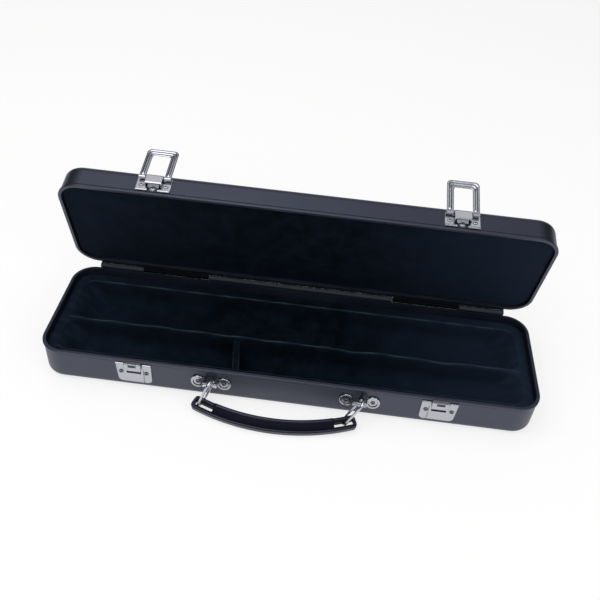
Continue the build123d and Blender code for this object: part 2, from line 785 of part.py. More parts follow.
def handle_grip():
    """The moulded handle: a curved bar with raised edges, a channel and a slot at each end."""
    centre_x, half_chord, radius = handle_plan()
    # the arc centre lies behind the handle; the inner rail's centre passes through both rings
    inner = radius - handle_rail / 2
    outer = inner + handle_width
    half_angle = math.degrees(math.asin((half_chord + handle_end) / (radius + handle_width / 2)))
    bar = curved_bar(inner, outer, half_angle, handle_grip_height)
    bar = fillet(bar.edges().filter_by(Axis.Z), handle_end_round)
    bar = fillet(bar.edges().filter_by(Axis.Z, reverse=True), handle_rail_round)
    slot_inner = inner + handle_rail
    slot_outer = slot_inner + handle_slot
    slot_middle = half_chord - handle_slot_length / 2 + handle_slot_past_ring
    slot_angle = math.degrees(math.asin(slot_middle / radius))
    trim = (handle_grip_height - handle_rail_height) / 2
    for angle in (-slot_angle, slot_angle):
        slot = slot_span(slot_inner, slot_outer, angle, 2 * handle_grip_height)
        bar -= fillet(slot.edges().filter_by(Axis.Z), handle_slot_round)
        for face in (-1, 1):
            bite = slot_span(inner - trim, slot_inner, angle, trim)
            bar -= Pos(0, 0, face * (handle_rail_height + trim) / 2) * bite
    channel_length = slot_middle - handle_slot_length / 2 - handle_channel_start
    channel = curved_bar(
        inner + handle_channel_rail,
        outer - handle_channel_rail,
        math.degrees(channel_length / radius),
        handle_channel_depth,
    )
    channel = fillet(channel.edges().filter_by(Axis.Z), handle_channel_round)
    bar -= Pos(0, 0, (handle_grip_height - handle_channel_depth) / 2) * channel
    behind = math.sqrt(radius**2 - half_chord**2)
    bar = Pos(centre_x, ring_far_y + behind, ring_far_z) * bar
    return bar.rotate(Axis((0, ring_far_y, ring_far_z), (1, 0, 0)), handle_tilt())


# ---- backing plates, one node for each kind ----
def keeper_backing_plates():
    """Inside the base, behind the keepers."""
    width = keeper_width - 2 * backing_margin
    plates = [backing_plate(x, keeper_rivet_z, width, backing_height, keeper_places) for x in latch_centres]
    return Compound(children=plates)


def handle_backing_plates():
    """Inside the base, behind the handle mounts."""
    width = 2 * lobe_x + lobe_width - 2 * backing_margin
    plates = [backing_plate(x, mount_z, width, backing_height, mount_places) for x in mount_centres]
    return Compound(children=plates)


def latch_backing_plates():
    """Inside the lid, behind the latches."""
    width = latch_width - 2 * backing_margin
    places = latch_places + tongue_places
    plates = [backing_plate(x, latch_backing_z, width, latch_backing_height, places) for x in latch_centres]
    return Compound(children=plates)


def make():
    """Every sub-part of the open case by its name."""
    grip = wall + sheet + backing
    leaf_grip = wall + leaf
    tongue_grip = wall + spring_thickness + backing
    parts = {
        "base_shell": base_shell(),
        "foam_sheet": foam_sheet(),
        "foam_back_strip": foam_strip(channel_back_y + plush, wall_y),
        "foam_middle_rail": foam_strip(pocket_high + plush, body_low - plush),
        "foam_front_strip": foam_strip(-wall_y, channel_front_y - plush),
        "foam_end_blocks": foam_end_blocks(),
        "base_lining": base_lining(),
        "pocket_divider": pocket_divider(),
        "hinge_leaf_base": hinge_leaf_base(),
        "hinge_pin": hinge_pin(),
        "hinge_rivets_base": rivets(base_leaf_places, leaf, leaf_grip, back),
        "keeper_rivets": rivets(keeper_places, sheet, grip),
        "handle_mount_rivets": rivets(mount_places, lobe_dish, grip),
        "keeper_backing_plates": keeper_backing_plates(),
        "handle_backing_plates": handle_backing_plates(),
        "keeper_left": keeper(-latch_x, 1),
        "keeper_right": keeper(latch_x, -1),
        "handle_mount_left": handle_mount(-mount_x),
        "handle_mount_right": handle_mount(mount_x),
        "handle_ring_left": handle_ring(-mount_x, ring_lean_left, ring_twist_left),
        "handle_ring_right": handle_ring(mount_x, ring_lean_right, ring_twist_right),
        "handle_grip": handle_grip(),
    }
    lid_parts = {
        "lid_shell": lid_shell(),
        "lid_pad": lid_pad(),
        "lid_lining": lid_lining(),
        "hinge_leaf_lid": hinge_leaf_lid(),
        "hinge_rivets_lid": rivets(lid_leaf_places, leaf, leaf_grip, back),
        "latch_plate_left": latch_plate(-latch_x),
        "latch_plate_right": latch_plate(latch_x),
        "latch_pin_left": latch_pin(-latch_x),
        "latch_pin_right": latch_pin(latch_x),
        "latch_spring_left": latch_spring(-latch_x),
        "latch_spring_right": latch_spring(latch_x),
        "latch_rivets": rivets(latch_places, sheet, grip),
        "latch_tongue_rivets": rivets(tongue_places, spring_thickness, tongue_grip),
        "latch_backing_plates": latch_backing_plates(),
        "latch_loop_left": latch_loop(-latch_x, loop_tilt_left),
        "latch_loop_right": latch_loop(latch_x, loop_tilt_right),
    }
    for name, piece in lid_parts.items():
        parts[name] = opened(piece)
    return parts


os.makedirs("parts", exist_ok=True)
for name, piece in make().items():
    export_step(piece, f"parts/{name}.step")
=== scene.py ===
"""A slim flute case, standing open: moulded shells, plush lining, plated latches and a moulded handle.

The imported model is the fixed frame. Pieces whose shape is right keep it and get a finish; the plush
linings, the pull loops and the handle are surfaces worked out here, each in place of its plain
solid. Sizes are written in millimetres, in the case's own frame: X along the case, -Y the handle
side, Z up, and the origin under the middle of the base.
"""

from __future__ import annotations

import json
import logging
import math
from collections.abc import Iterator, Mapping, Sequence
from dataclasses import dataclass, replace
from enum import Enum
from functools import cache

import bmesh
import bpy
import numpy as np
from mathutils import Matrix, Vector

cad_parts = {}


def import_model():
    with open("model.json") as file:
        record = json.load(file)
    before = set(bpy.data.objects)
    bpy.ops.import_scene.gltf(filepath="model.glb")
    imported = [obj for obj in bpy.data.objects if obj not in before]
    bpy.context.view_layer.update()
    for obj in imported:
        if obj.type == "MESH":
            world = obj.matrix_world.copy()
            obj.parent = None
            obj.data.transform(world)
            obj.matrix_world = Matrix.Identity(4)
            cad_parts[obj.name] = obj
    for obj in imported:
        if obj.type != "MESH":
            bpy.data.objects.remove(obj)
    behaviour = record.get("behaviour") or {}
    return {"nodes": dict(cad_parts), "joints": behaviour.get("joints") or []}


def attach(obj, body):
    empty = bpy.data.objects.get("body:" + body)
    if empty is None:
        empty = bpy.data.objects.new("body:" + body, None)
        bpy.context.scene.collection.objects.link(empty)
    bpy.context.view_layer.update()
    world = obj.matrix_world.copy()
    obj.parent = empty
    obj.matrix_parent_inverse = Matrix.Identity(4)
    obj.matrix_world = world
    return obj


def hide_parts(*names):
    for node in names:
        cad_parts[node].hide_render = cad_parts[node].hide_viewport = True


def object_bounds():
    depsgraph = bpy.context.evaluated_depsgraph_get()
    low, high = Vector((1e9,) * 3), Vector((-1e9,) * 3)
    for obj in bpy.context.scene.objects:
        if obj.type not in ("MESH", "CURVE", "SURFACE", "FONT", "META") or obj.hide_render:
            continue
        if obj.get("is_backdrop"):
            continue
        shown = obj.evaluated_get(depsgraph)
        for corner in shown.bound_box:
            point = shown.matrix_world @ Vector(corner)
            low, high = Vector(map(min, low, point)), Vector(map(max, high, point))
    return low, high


MM = 0.001
LOG = logging.getLogger("flute_case")

Array = np.ndarray
Pair = tuple[float, float]
Tree = bpy.types.NodeTree
Socket = bpy.types.NodeSocket
Values = Mapping[str | int, object]
Links = Mapping[str | int, bpy.types.Node | Socket]
Stops = Sequence[tuple[float, str]]


# ---- colours and nodes


def linear(colour: str) -> tuple[float, float, float, float]:
    """Turns an sRGB hex colour into linear values.

    Args:
        colour: Six hex digits after a hash sign.

    Returns:
        Red, green and blue, and an alpha of 1.
    """
    codes = np.array([int(colour[i : i + 2], 16) for i in (1, 3, 5)]) / 255
    values = np.where(codes <= 0.04045, codes / 12.92, ((codes + 0.055) / 1.055) ** 2.4)
    return (*values.tolist(), 1.0)


def empty_tree(owner: bpy.types.Material | bpy.types.World) -> Tree:
    """Gives a material's or the world's node tree, emptied."""
    owner.use_nodes = True
    owner.node_tree.nodes.clear()
    return owner.node_tree


def add_node(
    tree: Tree,
    kind: str,
    values: Values | None = None,
    links: Links | None = None,
    stops: Stops = (),
    **settings: object,
) -> bpy.types.Node:
    """Adds one node with its settings, its sockets' values, its links and a ramp's stops.

    Args:
        tree: The node tree that takes the node.
        kind: The node's type, without "ShaderNode" before it.
        values: Values by input socket.
        links: By input socket, an output socket, or a node whose first output is meant.
        stops: A colour ramp's places and hex colours, ascending.
        **settings: Properties of the node itself.

    Returns:
        The new node.
    """
    node = tree.nodes.new(f"ShaderNode{kind}")
    for name, value in settings.items():
        setattr(node, name, value)
    for name, value in (values or {}).items():
        node.inputs[name].default_value = value
    for name, source in (links or {}).items():
        tree.links.new(source if isinstance(source, Socket) else source.outputs[0], node.inputs[name])
    for number, (place, colour) in enumerate(stops):
        ramp = node.color_ramp.elements
        stop = ramp[number] if number < 2 else ramp.new(place)
        stop.position = place
        stop.color = linear(colour)
    return node


def texture(size: float, detail: float, rough: float) -> dict[str, float]:
    """Gives a noise's values from its features' size in millimetres, its octaves and their share."""
    return {"Scale": 1 / (size * MM), "Detail": detail, "Roughness": rough}


def around(middle: float, spread: float) -> dict[str, float]:
    """Gives a map range's values that let a number wander by a spread each way from its middle."""
    return {"To Min": middle - spread, "To Max": middle + spread}


# ---- finishes


@dataclass(frozen=True)
class Finish:
    """What every finish is: a material whose one shader is driven by the finish's own nodes."""

    name: str
    colour: str

    def drive(self, tree: Tree, at: Links) -> tuple[Values, Links]:
        """Adds the finish's own nodes.

        Args:
            tree: The material's nodes.
            at: The piece's own coordinates, linked to a pattern's Vector socket.

        Returns:
            The shader's values and its links.
        """
        raise NotImplementedError

    def material(self) -> bpy.types.Material:
        """Builds the material."""
        material = bpy.data.materials.new(self.name)
        tree = empty_tree(material)
        place = add_node(tree, "TexCoord").outputs["Object"]
        values, links = self.drive(tree, {"Vector": place})
        shader = add_node(tree, "BsdfPrincipled", values, links)
        add_node(tree, "OutputMaterial", links={"Surface": shader})
        return material


@dataclass(frozen=True)
class Moulding(Finish):
    """Injection-moulded plastic: colour and roughness wander in patches where it was handled, over
    the grain that the mould gave it.

    Attributes:
        worn: The handled patches' colour.
        gloss: The highlights' tint.
        patch: The patches' size in millimetres, octaves and their share.
        grain: The same of the grain.
        depth: How deep the grain is, in millimetres.
        bite: How much of the grain the highlights follow.
    """

    worn: str
    gloss: str
    index: float
    roughness: float
    rough_spread: float
    patch: tuple[float, float, float]
    grain: tuple[float, float, float]
    depth: float
    bite: float
    shine: float = 0.5

    def drive(self, tree: Tree, at: Links) -> tuple[Values, Links]:
        """Makes patches of colour and roughness over the grain."""
        patches = add_node(tree, "TexNoise", texture(*self.patch), at)
        stops = ((0.35, self.colour), (0.7, self.worn))
        tint = add_node(tree, "ValToRGB", links={"Fac": patches}, stops=stops)
        rough = add_node(tree, "MapRange", around(self.roughness, self.rough_spread), {"Value": patches})
        grain = add_node(tree, "TexNoise", texture(*self.grain), at)
        relief = {"Distance": self.depth * MM, "Strength": self.bite}
        bump = add_node(tree, "Bump", relief, {"Height": grain})
        values = {"IOR": self.index, "Specular IOR Level": self.shine, "Specular Tint": linear(self.gloss)}
        return values, {"Base Color": tint, "Roughness": rough, "Normal": bump}


@dataclass(frozen=True)
class PlushVelour(Finish):
    """Short-pile acrylic velour in near-black teal: no gloss, a pale bloom where the pile is seen from its
    side, mottled where it was brushed one way or the other, with painted light at the ends and painted
    highlights."""

    brushed: str = "#07111C"
    # painted light: the colour that the pile turns towards the case's ends, the right end most
    pale: str = "#172130"
    # painted highlight: the colour mixed in along the lips and ridges, where the mesh's attribute says
    painted_highlight: str = "#2F3C45"
    sheen: str = "#4C6080"
    patch: float = 15.0
    # where the painted light at the ends starts on the left and on the right, and its share on the left
    dark_from: float = -60.0
    dark_to: float = 40.0
    pale_left: float = 0.45
    half_case: float = 210.0
    # 0.7 mm across: real fibres are finer than the render can show
    pile: float = 0.7
    pile_depth: float = 0.35

    def drive(self, tree: Tree, at: Links) -> tuple[Values, Links]:
        """Mottles the pile, paints light on it towards the ends, and paints highlights where the attribute
        "crest" says.
        """
        patches = add_node(tree, "TexNoise", texture(self.patch, 5.0, 0.6), at)
        stops = ((0.38, self.colour), (0.66, self.brushed))
        mixed = add_node(tree, "ValToRGB", links={"Fac": patches}, stops=stops).outputs["Color"]
        # painted light: paler towards both ends of the case
        along = add_node(tree, "SeparateXYZ", links=at).outputs["X"]
        left = {"From Min": self.dark_from * MM, "From Max": -self.half_case * MM, "To Max": self.pale_left}
        right = {"From Min": self.dark_to * MM, "From Max": self.half_case * MM}
        ends = [add_node(tree, "MapRange", span, {"Value": along}) for span in (left, right)]
        paler = add_node(tree, "Math", links={0: ends[0], 1: ends[1]}, operation="MAXIMUM")
        # painted highlight: its share comes from the mesh's attribute
        highlight_share = add_node(tree, "Attribute", attribute_name="painted_highlight").outputs["Fac"]
        for colour, share in ((self.pale, paler), (self.painted_highlight, highlight_share)):
            links = {"Factor": share, "A": mixed}
            mix = add_node(tree, "Mix", {"B": linear(colour)}, links, data_type="RGBA")
            mixed = mix.outputs["Result"]
        fibres = add_node(tree, "TexNoise", texture(self.pile, 3.0, 0.7), at)
        relief = {"Distance": self.pile_depth * MM, "Strength": 0.7}
        bump = add_node(tree, "Bump", relief, {"Height": fibres})
        values = {
            "Roughness": 1.0,
            "Specular IOR Level": 0.08,
            "Sheen Weight": 0.12,
            "Sheen Roughness": 0.45,
            "Sheen Tint": linear(self.sheen),
        }
        return values, {"Base Color": mixed, "Normal": bump}


@dataclass(frozen=True)
class PlatedSteel(Finish):
    """Steel with a plated or painted skin, stamped or drawn: the skin is even, the sheet under it
    slightly uneven, so reflections wander a little, and its edges are broken, not sharp. Shade is
    painted into its enclosed corners, whose colour turns towards the corner colour."""

    metallic: float = 1.0
    roughness: float = 0.16
    rough_spread: float = 0.06
    ripple: float = 2.6
    ripple_depth: float = 0.012
    shine: float = 0.5
    edge: float = 0.4
    # painted shade: the colour that enclosed corners turn towards; on the black paints it is a little lighter
    # than the paint
    corner_shade: str = "#17171A"
    corner_reach: float = 1.8

    def drive(self, tree: Tree, at: Links) -> tuple[Values, Links]:
        """Smears the roughness, ripples the sheet, rounds its edges and paints shade into its corners."""
        smears = add_node(tree, "TexNoise", texture(4 * self.ripple, 3.0, 0.6), at)
        rough = add_node(tree, "MapRange", around(self.roughness, self.rough_spread), {"Value": smears})
        edge = add_node(tree, "Bevel", {"Radius": self.edge * MM}, samples=4)
        waves = add_node(tree, "TexNoise", texture(self.ripple, 2.0, 0.5), at)
        relief = {"Distance": self.ripple_depth * MM, "Strength": 1.0}
        bump = add_node(tree, "Bump", relief, {"Height": waves, "Normal": edge})
        # painted shade: ambient occlusion turns the colour towards the corner colour where a point is
        # enclosed
        reach = {"Distance": self.corner_reach * MM}
        open_share = add_node(tree, "AmbientOcclusion", reach, samples=8).outputs["AO"]
        stops = ((0.3, self.corner_shade), (0.85, self.colour))
        tint = add_node(tree, "ValToRGB", links={"Fac": open_share}, stops=stops)
        values = {"Metallic": self.metallic, "Specular IOR Level": self.shine}
        return values, {"Base Color": tint, "Roughness": rough, "Normal": bump}


class Slot(Enum):
    """The record's material slots."""

    SHELL = "case_shell"
    PLUSH = "plush"
    NICKEL = "nickel"
    WIRE = "plated_wire"
    HINGE = "dark_steel"
    INNER = "inner_steel"
    SPRING = "spring_steel"
    HANDLE = "handle_plastic"


FINISHES = {
    # ABS with a spark-eroded mould texture: satin, with soft wide highlights
    Slot.SHELL: Moulding(
        "moulded_abs_satin_black", "#080C14", worn="#0F131C", gloss="#D8DDFF", index=1.86, roughness=0.42,
        rough_spread=0.1, patch=(34.0, 3.0, 0.55), grain=(0.9, 4.0, 0.6), depth=0.02, bite=0.6,
    ),
    Slot.PLUSH: PlushVelour("acrylic_velour_near_black", "#00060D"),
    # bright nickel over stamped steel: white-grey, near-mirror, wavy at the size of a fingertip
    Slot.NICKEL: PlatedSteel("bright_nickel_stamped", "#B9BAC1"),
    # bright nickel over drawn wire: smoother along its length
    Slot.WIRE: PlatedSteel("bright_nickel_wire", "#C4C6CC", roughness=0.13, ripple=4.0, ripple_depth=0.006),
    # black-painted steel strip: dull, and slightly grey in its corners, where the painted corner shade is
    # lighter than the paint
    Slot.HINGE: PlatedSteel("painted_hinge_steel", "#0D0F14", metallic=0.0, roughness=0.5, ripple=1.4),
    # the hidden plates
    Slot.INNER: PlatedSteel("galvanised_steel", "#A9ABAC", roughness=0.4),
    # blued strip, still bright
    Slot.SPRING: PlatedSteel("spring_strip", "#B9BBBD", roughness=0.28),
    # polypropylene polished by hands: a blue-violet cast, a soft gloss and a very shallow grain
    Slot.HANDLE: Moulding(
        "polypropylene_gloss_black", "#080912", worn="#10111C", gloss="#D6DAFF", index=1.49, roughness=0.26,
        rough_spread=0.08, patch=(9.0, 4.0, 0.6), grain=(0.6, 3.0, 0.6), depth=0.01, bite=0.5,
    ),
}

# rivets of the front fittings: the same nickel, dulled by handling, and darkened all over as painted shade
RIVET_NICKEL_SHADED = PlatedSteel("rivet_nickel_painted_shade", "#75777F", roughness=0.32)

# one black paint in a shaded and a lit copy: the lid's knuckles matt and near-black, as painted shade; the
# base's grey, as painted light
SHADED_KNUCKLE_PAINT = replace(
    FINISHES[Slot.HINGE], name="knuckle_paint_painted_shade", colour="#04070B", roughness=0.7, shine=0.06
)
LIT_KNUCKLE_PAINT = replace(SHADED_KNUCKLE_PAINT, name="knuckle_paint_painted_light", colour="#2A3037", ripple=1.1, shine=0.3)

# the handle's sunk web: the same plastic, out of the hands' reach, still with the mould's matt skin, and a
# little darker in colour as painted shade for its sunk place
WEB_MATT_SHADED = replace(
    FINISHES[Slot.HANDLE], name="polypropylene_matt_painted_shade", colour="#05060F", worn="#090A16", shine=0.12,
    roughness=0.5,
)


@cache
def finished(finish: Finish) -> bpy.types.Material:
    """Gives a finish's material, which is built the first time that it is asked for."""
    return finish.material()


# ---- surfaces


@dataclass(frozen=True)
class Shell:
    """Part of a mesh: points and the faces between them.

    Attributes:
        points: Positions in millimetres, one row each.
        faces: Point numbers, four a row.
        painted_highlight: How strongly each point's pile is painted paler as a highlight, from 0 to 1, or
            None.
    """

    points: Array
    faces: Array
    painted_highlight: Array | None = None


def grid_shell(points: Array, wrap_rows: bool = False, wrap_columns: bool = False) -> Shell:
    """Joins a grid of points into four-sided faces.

    Args:
        points: The grid, rows by columns by 3.
        wrap_rows: Whether the last row joins the first.
        wrap_columns: Whether the last column joins the first.

    Returns:
        The surface.
    """
    rows, columns = points.shape[:2]
    number = np.arange(rows * columns).reshape(rows, columns)
    if wrap_rows:
        number = np.vstack([number, number[:1]])
    if wrap_columns:
        number = np.hstack([number, number[:, :1]])
    quads = np.stack([number[:-1, :-1], number[:-1, 1:], number[1:, 1:], number[1:, :-1]], axis=-1)
    return Shell(points.reshape(-1, 3), quads.reshape(-1, 4))


def capped(rings: Array) -> Shell:
    """Closes a stack of rings, rings by points by 3, by drawing the first and last to their middles."""
    ends = [np.repeat(r.mean(axis=1, keepdims=True), rings.shape[1], axis=1) for r in (rings[:1], rings[-1:])]
    return grid_shell(np.concatenate([ends[0], rings, ends[1]]), wrap_columns=True)


def put(name: str, data: bpy.types.ID) -> bpy.types.Object:
    """Puts an object with this data into the scene."""
    thing = bpy.data.objects.new(name, data)
    bpy.context.scene.collection.objects.link(thing)
    return thing


def make_piece(
    name: str,
    shells: Sequence[Shell],
    slot: Slot,
    body: str,
    stands_for: Sequence[str] = (),
    crease: float = 38.0,
    finish: Finish | None = None,
) -> bpy.types.Object:
    """Puts surfaces into one mesh piece that rides on a body.

    Doubles are merged, which closes seams and poles, and faces are turned outwards.

    Args:
        name: The piece's name.
        shells: Its surfaces, in millimetres.
        slot: The record's slot that its finish comes from.
        body: The body that it moves with.
        stands_for: The nodes that it is shown in place of.
        crease: Edges sharper than this many degrees stay sharp.
        finish: Its finish, where that isn't the slot's own.

    Returns:
        The new object.
    """
    mesh = bpy.data.meshes.new(name)
    starts = np.cumsum([0] + [len(s.points) for s in shells[:-1]])
    points = np.concatenate([s.points for s in shells]) * MM
    faces = np.concatenate([s.faces + start for s, start in zip(shells, starts, strict=True)])
    mesh.from_pydata(points.tolist(), [], faces.tolist())
    # the painted highlight's share, one number a point, goes onto the mesh for the plush's material
    if any(s.painted_highlight is not None for s in shells):
        highlight_share = [np.zeros(len(s.points)) if s.painted_highlight is None else s.painted_highlight.ravel() for s in shells]
        layer = mesh.attributes.new("painted_highlight", "FLOAT", "POINT")
        layer.data.foreach_set("value", np.concatenate(highlight_share).astype(np.float32))
    work = bmesh.new()
    work.from_mesh(mesh)
    bmesh.ops.remove_doubles(work, verts=work.verts, dist=0.001 * MM)
    bmesh.ops.recalc_face_normals(work, faces=work.faces)
    work.to_mesh(mesh)
    work.free()
    mesh.shade_smooth()
    mesh.set_sharp_from_angle(angle=math.radians(crease))
    mesh.materials.append(finished(finish or FINISHES[slot]))
    piece = put(name, mesh)
    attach(piece, body)
    if stands_for:
        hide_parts(*stands_for)
    LOG.info("%s: %d faces on %s", name, len(mesh.polygons), body)
    return piece


def turned(points: Array, centre: tuple[float, float], angle: float) -> Array:
    """Turns points about an axis along X.

    Args:
        points: Positions, with X, Y and Z last.
        centre: Y and Z of the axis.
        angle: Degrees, positive from Y towards Z.

    Returns:
        The turned positions.
    """
    a = math.radians(angle)
    y, z = points[..., 1] - centre[0], points[..., 2] - centre[1]
    out = points.copy()
    out[..., 1] = centre[0] + y * math.cos(a) - z * math.sin(a)
    out[..., 2] = centre[1] + y * math.sin(a) + z * math.cos(a)
    return out


def rounded_outline(half_x: float, half_y: float, corner: float, side: int, arc: int) -> Array:
    """A rounded rectangle's outline, anticlockwise: four sides, each followed by its corner's arc.

    Args:
        half_x: Half its length.
        half_y: Half its width.
        corner: The corners' radius.
        side: How many points on each side.
        arc: How many points on each corner.

    Returns:
        The points, 4 * (side + arc) by 2.
    """
    along = np.linspace(-1, 1, side, endpoint=False)
    turn = np.linspace(0, math.pi / 2, arc, endpoint=False)
    sx, sy = half_x - corner, half_y - corner
    pieces = []
    for k, (run, reach) in enumerate(((sx, half_y), (sy, half_x), (sx, half_y), (sy, half_x))):
        heading = k * math.pi / 2
        straight = np.stack([along * run, np.full(side, -reach)], axis=1)
        bend = np.stack([run + corner * np.sin(turn), -(reach - corner) - corner * np.cos(turn)], axis=1)
        spin = np.array([[math.cos(heading), -math.sin(heading)], [math.sin(heading), math.cos(heading)]])
        pieces.append(np.concatenate([straight, bend]) @ spin.T)
    return np.concatenate(pieces)


def smooth_step(value: Array, low: float, high: float) -> Array:
    """Rises smoothly from 0 to 1 as the value goes from low to high."""
    t = np.clip((value - low) / (high - low), 0, 1)
    return t * t * (3 - 2 * t)


def full_turn(count: int) -> Array:
    """Gives this many angles, evenly spread over a full turn."""
    return np.linspace(0, math.tau, count, endpoint=False)


def bell(value: Array, half: float) -> Array:
    """Falls smoothly from 1 at zero: e to the minus square of the value over its half width."""
    return np.exp(-((value / half) ** 2))


def raised(value: Array, power: float) -> Array:
    """Raises a value's size to a power and keeps its sign."""
    return np.sign(value) * np.abs(value) ** power


@dataclass(frozen=True)
class Swell:
    """A gentle random relief: plane waves of about one length in seeded directions, added up.

    Attributes:
        height: Its spread.
        wave: The waves' typical length, in millimetres.
        seed: What the directions, lengths and phases are drawn from.
        count: How many waves.
    """

    height: float
    wave: float
    seed: int
    count: int = 7

    def at(self, x: Array, y: Array) -> Array:
        """Gives the relief at places: the sum of the sines of the distance along each direction."""
        draw = np.random.default_rng(self.seed)
        heading = draw.uniform(0, math.tau, self.count)
        length = self.wave * draw.uniform(0.7, 1.5, self.count)
        phase = draw.uniform(0, math.tau, self.count)
        run = x[..., None] * np.cos(heading) + y[..., None] * np.sin(heading)
        return self.height * np.sin(math.tau * run / length + phase).sum(axis=-1) / math.sqrt(self.count / 2)

    def kept(self, x: Array, y: Array, low: float, high: float) -> Array:
        """Gives the relief at places, kept between two shares of its height."""
        return np.clip(self.at(x, y), low * self.height, high * self.height)


# ---- lining


@dataclass(frozen=True)
class Lining:
    """What the base's and the lid's lining share: a rounded outline, and the foam's sides."""

    half_x: float = 206.9
    half_y: float = 50.9
    corner: float = 16.4
    side_gap: float = 1.5
    bevel: Pair = (2.6, 3.0)

    def reach(self, ys: Array) -> Array:
        """How far the outline reaches along X at each Y: straight sides with round corners."""
        beyond = np.maximum(np.abs(ys) - (self.half_y - self.corner), 0)
        return self.half_x - self.corner + np.sqrt(np.maximum(self.corner**2 - beyond**2, 0))

    def closed(self, grid: Array, painted_highlight: Array, levels: Sequence[float]) -> list[Shell]:
        """Closes a face behind: its rim is carried back in rings, and the last drawn to the middle.

        The first rings tuck the plush in to the foam's own side. A ring is drawn in by its inset
        times the sixth power of how far out the rim lies, so that the corners stay round.

        Args:
            grid: The face's points, rows by columns by 3.
            painted_highlight: How strongly its pile is painted paler as a highlight.
            levels: The heights of the plush's end, the foam's side, its bevel and its far side.

        Returns:
            The face, and what closes it.
        """
        rim = np.concatenate([grid[:-1, 0], grid[-1, :-1], grid[:0:-1, -1], grid[0, :0:-1]])
        half = np.array([self.half_x, self.half_y])
        share = np.minimum(np.abs(rim[:, :2] / half) ** 6, 1)
        insets = (0.0, self.side_gap, self.side_gap, self.side_gap + self.bevel[0])
        rings = [rim]
        for inset, level in zip(insets, levels, strict=True):
            flat = rim[:, :2] * (1 - inset / half * share)
            rings.append(np.column_stack([flat, np.full(len(rim), level)]))
        rings.append(np.tile([[0.0, 0.0, levels[-1]]], (len(rim), 1)))
        return [replace(grid_shell(grid), painted_highlight=painted_highlight), grid_shell(np.stack(rings), wrap_columns=True)]


@dataclass(frozen=True)
class Channel:
    """A long hollow in the base's lining, as a rounded rectangle seen from above."""

    low_y: float
    high_y: float
    half_x: float = 198.2
    corner: float = 10.0

    def inside(self, x: Array, y: Array) -> Array:
        """How far points lie inside the outline: the rounded rectangle's distance, negative out."""
        middle, half_y = (self.low_y + self.high_y) / 2, (self.high_y - self.low_y) / 2
        px = np.abs(x) - (self.half_x - self.corner)
        py = np.abs(y - middle) - (half_y - self.corner)
        outer = np.hypot(np.maximum(px, 0), np.maximum(py, 0))
        return self.corner - outer - np.minimum(np.maximum(px, py), 0)


